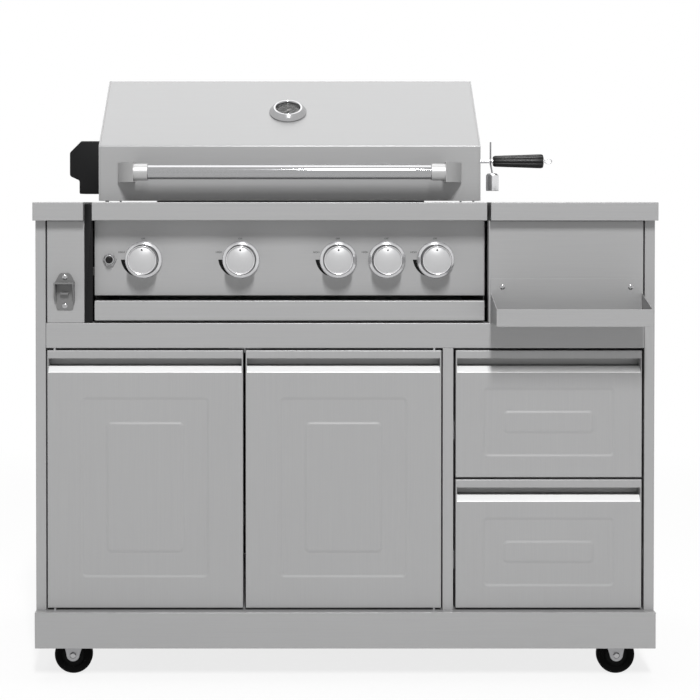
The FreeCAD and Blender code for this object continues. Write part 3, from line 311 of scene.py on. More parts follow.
def grid_faces(rows, columns, close_rows=False, close_columns=False):
    """Quads of a grid: each point is joined with the next in its row and in its column."""
    row = np.arange(rows - (not close_rows))[:, None]
    column = np.arange(columns - (not close_columns))[None, :]
    below, beside = (row + 1) % rows * columns, (column + 1) % columns
    row = row * columns
    quads = np.broadcast_arrays(row + column, row + beside, below + beside, below + column)
    return np.stack(quads, axis=-1).reshape(-1, 4).tolist()


print("a 3 by 4 grid has", len(grid_faces(3, 4)), "quads")

# %% [markdown]
# Metal and plastic edges are never quite sharp. A Bevel modifier could round them afterwards, but it
# acts on a whole mesh. Here the corners are rounded in the outline, each by its own radius, before
# the outline is turned or carried along.

# %% Rounded outlines
def rounded(corners, radius, steps=5, closed=True):
    """Arcs in place of the corners of an outline. With h half the angle at a corner, the arc starts
    radius / tan h from it, and its centre lies radius / sin h along the bisector."""
    corner = np.asarray(corners, float)
    back, ahead = np.roll(corner, 1, axis=0) - corner, np.roll(corner, -1, axis=0) - corner
    long_back, long_ahead = np.linalg.norm(back, axis=1), np.linalg.norm(ahead, axis=1)
    back, ahead = back / long_back[:, None], ahead / long_ahead[:, None]
    half = np.maximum(np.arccos(np.clip((back * ahead).sum(axis=1), -1.0, 1.0)) / 2, 0.001)
    largest = 0.49 * np.minimum(long_back, long_ahead) * np.tan(half)
    radius = np.minimum(np.broadcast_to(radius, len(corner)), largest)
    if not closed:
        radius[[0, -1]] = 0.0
    bisector = back + ahead
    bisector /= np.maximum(np.linalg.norm(bisector, axis=1), 1e-9)[:, None]
    centre = corner + bisector * (radius / np.sin(half))[:, None]
    start = corner + back * (radius / np.tan(half))[:, None] - centre
    end = corner + ahead * (radius / np.tan(half))[:, None] - centre
    turn = np.maximum(np.pi - 2 * half, 1e-6)[:, None]
    part = np.linspace(0.0, 1.0, steps + 1)[None, :]
    first, second = np.sin((1 - part) * turn) / np.sin(turn), np.sin(part * turn) / np.sin(turn)
    arc = centre[:, None] + first[..., None] * start[:, None] + second[..., None] * end[:, None]
    points = arc.reshape(-1, 2)
    keep = np.ones(len(points), dtype=bool)
    keep[1:] = np.linalg.norm(np.diff(points, axis=0), axis=1) > 1e-6
    return points[keep]


print("a rounded square has", len(rounded([(0, 0), (9, 0), (9, 9), (0, 9)], 1.0)), "points")

# %% [markdown]
# A piece is often made of several closed parts, such as a nut and its washer. Each could be its own
# object, but one mesh keeps what moves together together. Doubled points are merged and the normals
# worked out again, so that every face points outward. Edges sharper than a given angle stay sharp.

# %% Making a piece
def make_piece(name, parts, material, body, instead=(), corner=35.0, second=None):
    """One mesh from several (points, faces) parts, smooth but for its corners, riding on a body. Each
    part's faces count on from the points of the parts before it."""
    points, faces, first = [], [], 0
    for part_points, part_faces in parts:
        part_points = np.reshape(part_points, (-1, 3))
        points.append(part_points)
        faces += [[first + index for index in face] for face in part_faces]
        first += len(part_points)
    mesh = bpy.data.meshes.new(name)
    mesh.from_pydata(np.concatenate(points).tolist(), [], faces)
    finishes = material if isinstance(material, tuple) else (material,)
    for finish in finishes:
        mesh.materials.append(finish)
    if second is not None:
        index = np.zeros(len(faces), dtype=np.int32)
        index[:second.size] = second.ravel()
        mesh.polygons.foreach_set("material_index", index)
    shape = bmesh.new()
    shape.from_mesh(mesh)
    bmesh.ops.remove_doubles(shape, verts=shape.verts, dist=0.001 * MM)
    bmesh.ops.recalc_face_normals(shape, faces=shape.faces)
    shape.to_mesh(mesh)
    shape.free()
    mesh.polygons.foreach_set("use_smooth", np.ones(len(mesh.polygons), dtype=bool))
    mesh.set_sharp_from_angle(angle=math.radians(corner))
    piece = bpy.data.objects.new(name, mesh)
    bpy.context.scene.collection.objects.link(piece)
    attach(piece, body)
    if instead:
        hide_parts(*instead)
    return piece


print("pieces can be made")

# %% [markdown]
# Knobs, wheels, rods and screw heads are turned on a lathe. Blender's Spin tool could do it by hand,
# but a profile in numbers can be checked against the frame. A function carries it round an axis, and
# the screw head is the first profile that uses it.

# %% Turned parts
def turned(profile, centre, axis, around=64, closed=False):
    """Points at centre + along * axis + radius * (cos a * side + sin a * up), for every (along,
    radius) of the profile and every angle a."""
    profile = np.asarray(profile, float)
    axis = np.asarray(axis, float) / np.linalg.norm(axis)
    side = np.cross(axis, (0.0, 0.0, 1.0) if abs(axis[2]) < 0.9 else (1.0, 0.0, 0.0))
    side /= np.linalg.norm(side)
    up = np.cross(axis, side)
    angle = np.linspace(0.0, 2 * np.pi, around, endpoint=False)[:, None]
    ring = np.cos(angle) * side + np.sin(angle) * up
    points = np.asarray(centre) + profile[:, 0, None, None] * axis + profile[:, 1, None, None] * ring
    return place(*np.moveaxis(points, -1, 0)), grid_faces(len(profile), around, closed, True)


def screw(x, depth, height, radius, rise, axis=(0.0, -1.0, 0.0)):
    """A domed head with a small round socket: shares of the rise and of the radius, turned."""
    shares = np.array([(0, 0), (0, 1), (0.35, 0.97), (0.75, 0.75), (1, 0.42), (0.98, 0.34), (0.45, 0.30),
                       (0.45, 0)])
    return turned(shares * (rise, radius), (x, depth, height), axis, 28)


print("a screw head has", len(screw(0.0, 0.0, 0.0, 5.4, 2.4)[1]), "quads")

# %% [markdown]
# Forks, motor cases and the igniter's nut are cut or moulded to an outline. An Extrude with a Bevel
# would do, but each piece would need its own settings. Here an outline is carried along a line and
# drawn in a little at both ends, which leaves the rounded rim that real edges have.

# %% Cut parts
def drawn_in(outline, distance):
    """An outline moved inward: each point goes along the sum of its two sides' normals, divided by
    one plus their dot product, so that both sides move by the distance."""
    ahead = np.roll(outline, -1, axis=0) - outline
    ahead /= np.maximum(np.linalg.norm(ahead, axis=1), 1e-9)[:, None]
    normal = np.stack([-ahead[:, 1], ahead[:, 0]], axis=-1)
    before = np.roll(normal, 1, axis=0)
    shared = (normal + before) / (1 + (normal * before).sum(axis=1))[:, None]
    following = np.roll(outline, -1, axis=0)
    area = (outline[:, 0] * following[:, 1] - following[:, 0] * outline[:, 1]).sum()
    return outline + shared * distance * np.sign(area)


DIRECTIONS = {
    "x": lambda a, b, c: place(c, a, b),
    "y": lambda a, b, c: place(a, c, b),
    "z": lambda a, b, c: place(a, b, c),
}


def cut_plate(outline, low, high, edge, direction):
    """An outline carried from low to high. At angle t of a rim it is drawn in by edge * (1 - sin t)
    and stands edge * (1 - cos t) from the end."""
    outline = np.asarray(outline, float)
    angle = np.linspace(0.0, np.pi / 2, 4)
    inset = np.concatenate([edge * (1 - np.sin(angle)), edge * (1 - np.sin(angle[::-1]))])
    level = np.concatenate([low + edge * (1 - np.cos(angle)), high - edge * (1 - np.cos(angle[::-1]))])
    rows = np.stack([drawn_in(outline, distance) for distance in inset])
    points = DIRECTIONS[direction](rows[..., 0], rows[..., 1], level[:, None])
    count = len(outline)
    last = count * (len(level) - 1)
    caps = [list(range(count)), list(range(last, last + count))]
    return points, grid_faces(len(level), count, False, True) + caps


def block_outline(a0, a1, b0, b1, radius=0.0):
    """A rectangle between two limits each way, with its corners rounded."""
    return rounded([(a0, b0), (a1, b0), (a1, b1), (a0, b1)], max(radius, 1e-3))


print("a plate has", len(cut_plate(block_outline(0.0, 9.0, 0.0, 9.0, 1.0), 0.0, 3.0, 0.5, "z")[1]), "faces")

# %% [markdown]
# Folded sheet has no sharp corners: each bend shows as a thin light line. The bends could be built by
# hand, or faked with a bump, which leaves the outline sharp. Here a copy of a construction node is
# merged, its flat triangles joined, and every outer bend marked for the Bevel modifier. Edges beside
# a thin face are cut edges of the sheet, and keep a small radius. The result is then kept, and its
# shading weighted by face area, so that broad faces stay flat up to their bends.

# %% Rounded bends on copies of the nodes
def is_thin(face):
    """A cut edge: twice the face's area over its outline's length is less than 2.1 mm."""
    return 2.0 * face.calc_area() / max(face.calc_perimeter(), 1e-9) < 2.1 * MM


SHARPEST_BEND = 35.0


def soften(name, radius, material, cut_edge=0.6 * MM, segments=3):
    """Replaces a node by a merged copy whose bends are rounded to the radius."""
    copy = bpy.data.objects.new("soft_" + name, nodes[name].data.copy())
    bpy.context.scene.collection.objects.link(copy)
    sheet = bmesh.new()
    sheet.from_mesh(copy.data)
    bmesh.ops.remove_doubles(sheet, verts=sheet.verts, dist=0.01 * MM)
    bmesh.ops.dissolve_limit(sheet, angle_limit=math.radians(1.0), verts=sheet.verts, edges=sheet.edges)
    weight = sheet.edges.layers.float.new("bevel_weight_edge")
    for edge in sheet.edges:
        angle = edge.calc_face_angle(0.0) if len(edge.link_faces) == 2 else 0.0
        if angle > math.radians(20.0):
            if is_thin(edge.link_faces[0]) or is_thin(edge.link_faces[1]):
                edge[weight] = cut_edge / radius
            elif edge.calc_face_angle_signed(0.0) > 0:
                edge[weight] = 1.0
    for face in sheet.faces:
        face.smooth = True
    sheet.to_mesh(copy.data)
    sheet.free()
    copy.data.materials.clear()
    copy.data.materials.append(material)
    bevel = copy.modifiers.new("bends", "BEVEL")
    bevel.limit_method = "WEIGHT"
    bevel.width = radius
    bevel.segments = segments
    bevel.use_clamp_overlap = True
    bent = bpy.data.meshes.new_from_object(copy.evaluated_get(bpy.context.evaluated_depsgraph_get()))
    bent.set_sharp_from_angle(angle=math.radians(SHARPEST_BEND))
    copy.modifiers.clear()
    copy.data = bent
    shading = copy.modifiers.new("flat_faces", "WEIGHTED_NORMAL")
    shading.keep_sharp = True
    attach(copy, nodes[name]["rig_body"])
    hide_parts(name)
    return copy


def finish_node(name, material):
    """Gives a construction node, left as it is, its finish."""
    nodes[name].data.materials.clear()
    nodes[name].data.materials.append(material)


print("bends sharper than %.0f degrees stay sharp" % SHARPEST_BEND)

# %% [markdown]
# Each group below has one finish and one bend radius. Thick sheet bends wide and thin sheet tight, and
# castings have their own soft edges. The grain runs along the longest side of a sheet, as on a real
# one, so the sides and posts are brushed upright and the worktops and rails across.

# %% Sheet metal pieces
SOFTENED = (
    (steel_x, 2.0, ("left_worktop", "right_worktop", "rear_worktop", "base_plinth", "top_rails",
                    "left_front_panel", "right_front_panel", "grill_frame", "control_panel", "drip_tray",
                    "hood_shell")),
    (steel_z, 1.5, ("side_panels", "centre_divider", "hood_ends")),
    (steel_x, 1.2, ("condiment_tray",)),
    (steel_y, 1.0, ("upper_drawer_box", "lower_drawer_box")),
    (cast_metal, 1.5, ("handle_brackets",)),
    (zinc, 0.6, ("end_brackets", "caster_mounts", "drawer_runners")),
    (cast_iron, 2.0, ("cooking_grates",)),
    (fire_steel, 0.8, ("flame_tamers",)),
    (dark_casting, 1.5, ("gas_valves",)),
    (dull_cast, 0.9, ("bottle_opener",)),
    (rod_chrome, 1.0, ("meat_forks",)),
)
for material, radius, names in SOFTENED:
    for name in names:
        soften(name, radius * MM, material)
print("softened", sum(len(names) for _, _, names in SOFTENED), "nodes")

# %% [markdown]
# Door and drawer fronts are pressed from one sheet: rounded edges, a finger pull along the top, and a
# shallow frame pressed in with the middle standing out again. Cutting the pull out with a Boolean
# would leave hard seams, so one grid makes it all. Its columns follow the sheet from side to side and
# its rows from the bottom flange up to the top. These helpers place the rows and columns, closer
# together where the sheet is pressed, and give the depth of the pressing.

# %% Rows, columns and the pressed frame
LEAF_BEND = 2.0
PULL_STRIP, PULL_HEIGHT, PULL_DEPTH, PULL_WALL = 16.0, 43.0, 35.0, 2.6
LIP_RISE, LIP_RUN = 11.0, 14.0
PRESS_DEPTH, PRESS_SLOPE, PRESS_CORNER, PRESS_DROP = 1.4, 7.0, 8.0, 16.0


def spaced(low, high, step, marks, near=7.0, fine=0.8):
    """Even steps, with finer ones within reach of each mark."""
    coarse = np.linspace(low, high, int((high - low) / step) + 2)
    close = (np.asarray(marks)[:, None] + np.arange(-near, near, fine)).ravel()
    values = np.unique(np.concatenate([coarse, close[(close > low) & (close < high)]]))
    return values[np.concatenate([[True], np.diff(values) > fine / 2])]


def wrapped(inner, low, high, back):
    """Places and depths of a sheet that turns back at both ends by a straight and a quarter arc."""
    angle = np.linspace(0.0, np.pi / 2, 5)
    near, deep = LEAF_BEND * (1 - np.cos(angle)), LEAF_BEND * (1 - np.sin(angle))
    where = np.concatenate([[low], low + near, inner, high - near[::-1], [high]])
    depth = np.concatenate([[back], deep, np.zeros(len(inner)), deep[::-1], [back]])
    return where, depth


def pressed(x, z, middle, size):
    """1 inside a round-cornered rectangle and 0 outside, with 3 t^2 - 2 t^3 across the slope. The
    distance to the edge is the length of the parts past the corner circles' centres."""
    past_x = np.abs(x - middle[0]) - size[0] / 2 + PRESS_CORNER
    past_z = np.abs(z - middle[1]) - size[1] / 2 + PRESS_CORNER
    outside = np.hypot(np.maximum(past_x, 0.0), np.maximum(past_z, 0.0))
    distance = outside + np.minimum(np.maximum(past_x, past_z), 0.0) - PRESS_CORNER
    part = np.clip(0.5 - distance / PRESS_SLOPE, 0.0, 1.0)
    return part * part * (3 - 2 * part)


print("pressed %.1f mm deep at the middle of a frame" % PRESS_DEPTH)

# %% [markdown]
# The rows run up the face, over the sloped lip, into the pull and out round the top. Where two rows
# share a height the sheet goes straight back, so the pull gets its shelf and its roof. The lip's quads
# take a second, paler copy of the steel: a painted highlight for the light that the slanted lip catches.
# A flat liner with a hem closes the leaf from behind.

# %% Pressed fronts
HEM, LINER_STEP = 16.0, 1.2


def liner(rim_x, rim_z, x0, x1, z0, z1, back):
    """A sheet that starts at the rim, runs in to HEM from the leaf's limits, and steps forward there."""
    hem_x, hem_z = np.clip(rim_x, x0 + HEM, x1 - HEM), np.clip(rim_z, z0 + HEM, z1 - HEM)
    depth = np.array([[back], [back], [back - LINER_STEP]])
    points = place(np.stack([rim_x, hem_x, hem_x]), depth, np.stack([rim_z, hem_z, hem_z]))
    count = len(rim_x)
    return points, grid_faces(3, count, False, True) + [list(range(2 * count, 3 * count))]


def pressed_front(name, frame_size, field_size):
    """One sheet: the depth at a point is the larger of the side's and the end's turned-back depth, plus
    the pull's where it is open, plus the pressing inside the frame but outside the field."""
    x0, x1, d0, d1, z0, z1 = limits(name)
    back = d1 - d0
    middle = ((x0 + x1) / 2, (z0 + z1) / 2 - PRESS_DROP)
    halves = np.array([-frame_size[0], -field_size[0], field_size[0], frame_size[0]]) / 2
    uprights = np.array([-frame_size[1], -field_size[1], field_size[1], frame_size[1]]) / 2

    inner = spaced(x0 + PULL_WALL, x1 - PULL_WALL, 14.0, middle[0] + halves)
    inner = np.concatenate([[x0 + PULL_WALL], inner, [x1 - PULL_WALL]])
    x, side_depth = wrapped(inner, x0, x1, back)
    opened = (np.arange(len(x)) > 6) & (np.arange(len(x)) < len(x) - 7)

    lip, strip = z1 - PULL_HEIGHT, z1 - PULL_STRIP
    face = spaced(z0 + LEAF_BEND + 0.5, lip - 7.0, 14.0, middle[1] + uprights)
    path = rounded([(lip - 6.0, 0.0), (lip, 0.0), (lip + LIP_RISE, LIP_RUN), (lip + LIP_RISE, PULL_DEPTH),
                    (strip, PULL_DEPTH), (strip, 0.0), (z1 - LEAF_BEND - 0.5, 0.0)],
                   [0.0, 2.0, 0.8, 3.0, 3.0, 0.7, 0.0], closed=False)
    z, end_depth = wrapped(np.concatenate([face, path[:, 0]]), z0, z1, back)
    pull = np.concatenate([np.zeros(6 + len(face)), path[:, 1], np.zeros(6)])

    depth = np.maximum(side_depth[None, :], end_depth[:, None]) + pull[:, None] * opened[None, :]
    across, upward = x[None, :], z[:, None]
    frame_in = pressed(across, upward, middle, frame_size) - pressed(across, upward, middle, field_size)
    points = place(across, d0 + depth + PRESS_DEPTH * frame_in, upward)
    rows, columns = len(z), len(x)
    index = np.arange(rows * columns).reshape(rows, columns)
    ring = np.concatenate([index[0], index[1:, -1], index[-1, -2::-1], index[-2:0:-1, 0]])
    rim_x, rim_z = np.broadcast_to(x, index.shape).ravel()[ring], np.repeat(z, columns)[ring]
    parts = [(points, grid_faces(rows, columns)), liner(rim_x, rim_z, x0, x1, z0, z1, d1)]
    on_lip = (z > lip - 1.0) & (z < lip + LIP_RISE + 0.5) & (pull < LIP_RUN + 0.4)
    # The lip's quads take the paler copy of the steel, a painted highlight.
    lip_highlight = on_lip[:, None] & opened[None, :]
    make_piece("pressed_" + name, parts, (steel_z, lip_painted_highlight), nodes[name]["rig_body"], (name,), 50.0,
               lip_highlight[:-1, :-1] & lip_highlight[1:, 1:])
    return rows * columns


made = [pressed_front(name, (246.0, 350.0), (148.0, 253.0)) for name in ("left_door", "right_door")]
made += [pressed_front(name, (254.0, 131.0), (175.0, 40.0)) for name in
         ("upper_drawer_front", "lower_drawer_front")]
print("pressed fronts with", made, "grid points")

# %% [markdown]
# Each knob is a turned cup with a wall made dark as painted shade, a bright rim, a slightly domed satin
# face and a black index dot. It could be one mesh with its finishes chosen by face, but four turned parts
# that fit into each other give clean borders. They ride on the knob's own body, so the dot shows its turn.

# %% Knobs
PANEL_DEPTH = limits("control_panel")[2]
KNOB_HEIGHT = (limits("knob_1")[4] + limits("knob_1")[5]) / 2
KNOBS = {"knob_%d" % number: sum(limits("knob_%d" % number)[:2]) / 2 for number in range(1, 6)}
TO_FRONT = (0.0, -1.0, 0.0)

reach = np.linspace(26.8, 0.0, 14)
dome = np.stack([39.9 + 5.0 * (1 - (reach / 26.8) ** 2), reach], axis=-1)
face = np.vstack([[(39.0, 0.0), (39.0, 26.8)], dome])
wall = rounded([(1.0, 0.0), (1.0, 28.0), (6.0, 29.0), (40.5, 29.0), (40.5, 27.5), (38.0, 27.5), (38.0, 0.0)],
               [0, 0.8, 2.0, 0.3, 0.2, 0, 0], closed=False)
rim = rounded([(38.5, 0.0), (38.5, 27.8), (40.4, 28.4), (41.5, 28.6), (43.2, 27.6), (42.9, 26.7),
               (39.5, 26.7), (39.5, 0.0)], [0, 0, 0.2, 0.6, 0.4, 0.2, 0.2, 0], closed=False)
dot = [(41.0, 0.0), (41.0, 2.0), (42.5, 2.0), (42.6, 1.7), (42.6, 0.0)]
for name, x in KNOBS.items():
    centre, above = (x, PANEL_DEPTH, KNOB_HEIGHT), (x, PANEL_DEPTH, KNOB_HEIGHT + 20.0)
    make_piece("wall_" + name, [turned(wall, centre, TO_FRONT, 96)], knob_wall, name, (name,))
    make_piece("rim_" + name, [turned(rim, centre, TO_FRONT, 96)], chrome, name)
    make_piece("face_" + name, [turned(face, centre, TO_FRONT, 96)], knob_satin, name)
    make_piece("dot_" + name, [turned(dot, above, TO_FRONT, 24)], gloss_black, name)
print("knobs at", [round(x) for x in KNOBS.values()])

# %% [markdown]
# A flared chrome ring stands round every knob, and the igniter sits in a nut of six sides with a round
# collar. A primitive torus would have the wrong flare, so the ring's own profile is turned. The rings
# stand for one construction node, so they are one piece, and the igniter's sleeve goes with them.

# %% Rings and igniter
x0, x1, _, _, z0, z1 = limits("igniter_button")
IGNITER = ((x0 + x1) / 2, PANEL_DEPTH, (z0 + z1) / 2)
flare = rounded([(0.0, 30.0), (8.8, 30.0), (8.8, 30.8), (6.0, 36.0), (3.0, 37.0), (0.0, 37.0)],
                [0, 0.3, 0.4, 1.6, 1.0, 0.0])
rings = [turned(flare, (x, PANEL_DEPTH, KNOB_HEIGHT), TO_FRONT, 96, True) for x in KNOBS.values()]
rings.append(turned([(-40.0, 7.3), (0.0, 7.3), (0.0, 10.5), (-40.0, 10.5)], IGNITER, TO_FRONT, 48, True))
make_piece("control_rings", rings, ring_chrome, "cabinet", ("control_bezels",))

turn = np.radians(np.arange(0.0, 360.0, 60.0))
hexagon = np.stack([IGNITER[0] + 13.6 * np.cos(turn), IGNITER[2] + 13.6 * np.sin(turn)], axis=-1)
collar = rounded([(4.0, 0.0), (4.0, 10.6), (7.6, 10.6), (9.0, 9.4), (9.0, 0.0)], [0, 0.2, 0.5, 0.5, 0],
                 closed=False)
nut = [cut_plate(rounded(hexagon, 1.2), PANEL_DEPTH - 5.0, PANEL_DEPTH, 1.0, "y"),
       turned(collar, IGNITER, TO_FRONT, 64)]
make_piece("igniter_nut", nut, gauge_chrome, "cabinet")
button = rounded([(-33.0, 0.0), (-33.0, 7.2), (14.0, 7.2), (15.4, 6.2), (16.0, 4.0), (16.0, 0.0)],
                 [0, 0, 1.0, 1.2, 1.5, 0], closed=False)
make_piece("igniter_cap", [turned(button, IGNITER, TO_FRONT, 48)], gloss_black, "igniter",
           ("igniter_button",))
print("igniter at", [round(value) for value in IGNITER])

# %% [markdown]
# The panel has black print: a wedge from nine to seven o'clock beside every main burner's knob, and
# the plain words OFF and HIGH. An image texture would need a picture, and would blur close up, so the
# marks are thin meshes that lie just in front of the steel and stay sharp at any distance.

# %% Printed marks
def wedge(x, height):
    """A strip round the knob from 180 to 236 degrees, 7.2 * (1 - share) ** 0.8 + 0.3 mm wide."""
    angle = np.radians(np.linspace(180.0, 236.0, 40))
    width = 7.2 * (1 - np.linspace(0.0, 1.0, 40)) ** 0.8 + 0.3
    radius = np.stack([np.full(40, 37.3), 37.3 + width])
    flat = np.full(radius.shape, PANEL_DEPTH - 0.08)
    return place(x + radius * np.cos(angle), flat, height + radius * np.sin(angle)), grid_faces(2, 40)


def printed_word(name, word, x, height, size):
    """A word as a flat mesh: its letters are made a mesh first, then its points are put in place."""
    letters = bpy.data.curves.new(name, "FONT")
    letters.body = word
    letters.size = size
    letters.align_x = "CENTER"
    letters.resolution_u = 3
    holder = bpy.data.objects.new(name, letters)
    bpy.context.scene.collection.objects.link(holder)
    flat = bpy.data.meshes.new_from_object(holder.evaluated_get(bpy.context.evaluated_depsgraph_get()))
    points = np.empty(len(flat.vertices) * 3)
    flat.vertices.foreach_get("co", points)
    points = points.reshape(-1, 3)
    faces = [list(polygon.vertices) for polygon in flat.polygons]
    bpy.data.objects.remove(holder)
    return place(x + points[:, 0], PANEL_DEPTH - 0.08, height + points[:, 1]), faces


marks = [wedge(x, KNOB_HEIGHT) for name, x in KNOBS.items() if name != "knob_4"]
for name, x in KNOBS.items():
    marks.append(printed_word("off_" + name, "OFF", x - 1.0, KNOB_HEIGHT + 40.0, 4.6))
    marks.append(printed_word("high_" + name, "HIGH", x - 43.5, KNOB_HEIGHT + 13.0, 5.2))
print_piece = make_piece("printed_marks", marks, print_black, "cabinet")
print("printed marks", len(print_piece.data.polygons), "faces")

# %% [markdown]
# The hood's handle is a bright tube held in two turned ferrules. A primitive cylinder would do for
# the tube, but the ferrules have soft shoulders and a shallow groove, which only a profile gives. All
# are turned round the same line, so they stay in line when the hood swings.

# %% Handle
x0, x1, d0, d1, z0, z1 = limits("handle_tube")
HANDLE = ((d0 + d1) / 2, (z0 + z1) / 2)
tube = [(x0 - 6.0, 0.0), (x0 - 6.0, 14.0), (x1 + 6.0, 14.0), (x1 + 6.0, 0.0)]
make_piece("tube", [turned(tube, (0.0, *HANDLE), (1.0, 0.0, 0.0), 96)], satin_tube, "hood", ("handle_tube",))
ferrule = rounded([(0.0, 0.0), (0.0, 14.6), (2.0, 16.4), (17.0, 16.4), (18.0, 15.4), (20.5, 15.4),
                   (21.5, 16.4), (27.0, 16.4), (28.0, 15.2), (28.0, 0.0)], 0.8, closed=False)
ends = [turned(ferrule, (x0 + 1.0, *HANDLE), (-1.0, 0.0, 0.0), 96),
        turned(ferrule, (x1 - 1.0, *HANDLE), (1.0, 0.0, 0.0), 96)]
make_piece("ferrules", ends, satin_tube, "hood")
print("handle tube %.0f mm long" % (x1 - x0))

# %% [markdown]
# The thermometer sits square to the hood's slope: a case with a rolled flange, a dark dial and a thin
# glass. Building it flat and tilting the object would leave a turned object, which a moving part must
# not have, so it is turned round the slope's own normal from the start. The normal follows from the
# depth and height of the slope's two ends.

# %% Thermometer
low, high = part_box("gauge_case")
hood_front_top, hood_ridge = (65.0, 1047.0), (272.0, 1188.0)
run, rise = hood_ridge[0] - hood_front_top[0], hood_ridge[1] - hood_front_top[1]
SLOPE_NORMAL = np.array((0.0, -rise, run)) / math.hypot(run, rise)
UP_SLOPE = np.array((0.0, run, rise)) / math.hypot(run, rise)
GAUGE = np.array(((low.x + high.x) / 2 / MM, (hood_front_top[0] + hood_ridge[0]) / 2,
                  (hood_front_top[1] + hood_ridge[1]) / 2))

case = rounded([(0.0, 5.0), (0.0, 38.0), (3.0, 38.0), (8.0, 34.0), (13.0, 28.6), (13.0, 25.6), (10.5, 24.6),
                (3.0, 24.0), (3.0, 5.0)], [0, 0.8, 1.5, 5.0, 2.2, 1.2, 0.8, 0.3, 0])
probe = [(-60.0, 0.0), (-60.0, 4.0), (-59.0, 5.0), (3.0, 5.0), (3.0, 0.0)]
housing = [turned(case, GAUGE, SLOPE_NORMAL, 96, True), turned(probe, GAUGE, SLOPE_NORMAL, 32)]
make_piece("thermometer_case", housing, gauge_chrome, "hood", ("gauge_case",))
dial = [(3.0, 0.0), (3.0, 24.0), (4.5, 24.0), (4.5, 0.0)]
make_piece("thermometer_dial", [turned(dial, GAUGE, SLOPE_NORMAL, 72)], dial_dark, "hood", ("gauge_dial",))
glass = [(8.5, 0.0), (8.5, 24.2), (9.7, 24.2), (10.0, 0.0)]
make_piece("thermometer_glass", [turned(glass, GAUGE, SLOPE_NORMAL, 72)], clear_glass, "hood",
           ("gauge_glass",))
print("thermometer at", [round(value) for value in GAUGE])

# %% [markdown]
# The dial carries pale ticks, every fifth one longer, over three quarters of a turn. They could be
# printed with a texture, but at this size a few quads are sharper. All 41 come from one array of
# angles, laid out on the dial's own plane. The needle keeps its construction shape.

# %% Dial marks
def dial_marks():
    """Tick quads: at angle a, from the inner to the outer radius r and a half width w to each side, a
    corner is r * cos a - w * sin a to the right and r * sin a + w * cos a up the slope."""
    angle = np.radians(np.linspace(225.0, -45.0, 41))
    inner = np.where(np.arange(41) % 5 == 0, 15.5, 18.5)
    reach = np.stack([inner, np.full(41, 21.0)])[:, :, None]
    half = np.where(np.arange(41) % 5 == 0, 0.5, 0.25)[None, :, None] * np.array([-1.0, 1.0])
    right = reach * np.cos(angle)[None, :, None] - half * np.sin(angle)[None, :, None]
    up = reach * np.sin(angle)[None, :, None] + half * np.cos(angle)[None, :, None]
    points = GAUGE + 4.58 * SLOPE_NORMAL + right[..., None] * (1.0, 0.0, 0.0) + up[..., None] * UP_SLOPE
    number = np.arange(41) * 2
    quads = np.stack([number, number + 1, number + 83, number + 82], axis=-1)
    return place(*np.moveaxis(points, -1, 0)), quads.tolist()


make_piece("thermometer_marks", [dial_marks()], print_pale, "hood")
finish_node("gauge_needle", needle_pale)
print("41 ticks on the dial")

# %% [markdown]
# The spit's motor is a black moulded case, stepped at its outer side. One solid block would have no
# parting line. Two plates cut to the case's outline, with a slightly smaller one between them, leave
# the seam that a real two-part housing shows. Its two screws are sunk inside the front wall.

# %% Motor
x0, x1, d0, d1, bottom, top = limits("rotisserie_motor")
SPIT = np.array((0.0, 290.0, 1021.0))
SEAM, SEAM_WIDTH = 44.0, 1.0
step = x0 + 20.0
case_outline = rounded([(x1, bottom), (x1, top), (step + 4.0, top), (step, top - 4.0), (x0, top - 24.0),
                        (x0, top - 73.0), (step, top - 82.0), (step, bottom)], [3, 3, 4, 4, 7, 7, 5, 3])
halves = [cut_plate(case_outline, d0, d0 + SEAM, 2.5, "y"),
          cut_plate(case_outline, d0 + SEAM + SEAM_WIDTH, d1, 2.5, "y"),
          cut_plate(drawn_in(case_outline, 1.2), d0 + SEAM - 2.0, d0 + SEAM + 3.0, 0.1, "y")]
make_piece("motor_case", halves, black_plastic, "cabinet", ("rotisserie_motor",))
case_screws = [screw(x1 - 8.0, d0 + 0.1, z, 2.6, 1.0, (0.0, 1.0, 0.0)) for z in (bottom + 8.0, top - 8.0)]
make_piece("motor_screws", case_screws, zinc, "cabinet")
print("motor case %.0f mm high" % (top - bottom))

# %% [markdown]
# The spit's handle is moulded with ten ribs. They could be ten extra bars, but on a real moulding the
# surface runs on between them, so the radius itself falls and rises round the axis. A flattened ring
# of wire on its end hangs it up.

# %% Spit handle
def ribbed(profile, centre, axis, ribs, depth, around=120):
    """A turned form whose radius shrinks by the share depth * ((1 - cos(ribs * a)) / 2) ** 1.5, only
    where the profile is wider than half its widest."""
    points, faces = turned(profile, centre, axis, around)
    middle = points.mean(axis=1, keepdims=True)
    angle = np.linspace(0.0, 2 * np.pi, around, endpoint=False)
    share = depth * ((1 - np.cos(ribs * angle)) / 2) ** 1.5
    inner = np.asarray(profile)[:, 1, None] / np.max(np.asarray(profile)[:, 1])
    return middle + (points - middle) * (1 - share[None, :] * (inner > 0.5))[..., None], faces


x0, x1 = limits("spit_handle")[:2]
handle_end = x0 + 106.0
ALONG = (1.0, 0.0, 0.0)
grip = [(0.0, 0.0), (0.0, 9.6), (1.0, 10.4), (4.0, 12.0), (30.0, 12.9), (60.0, 13.9), (90.0, 15.0),
        (101.0, 15.3), (104.5, 14.0), (105.7, 11.5), (106.0, 8.0), (106.0, 0.0)]
grip_form = ribbed(grip, (x0, *SPIT[1:]), ALONG, 10, 0.13)
make_piece("grip", [grip_form], grip_black, "spit", ("spit_handle",), 50.0)


def wire_ring(centre, axis, radius, wire, around=48):
    """A torus: at angle t of the wire, wire * sin t along the axis and radius + wire * cos t from it."""
    angle = np.linspace(0.0, 2 * np.pi, 16, endpoint=False)
    circle = np.stack([wire * np.sin(angle), radius + wire * np.cos(angle)], axis=-1)
    return turned(circle, centre, axis, around, True)


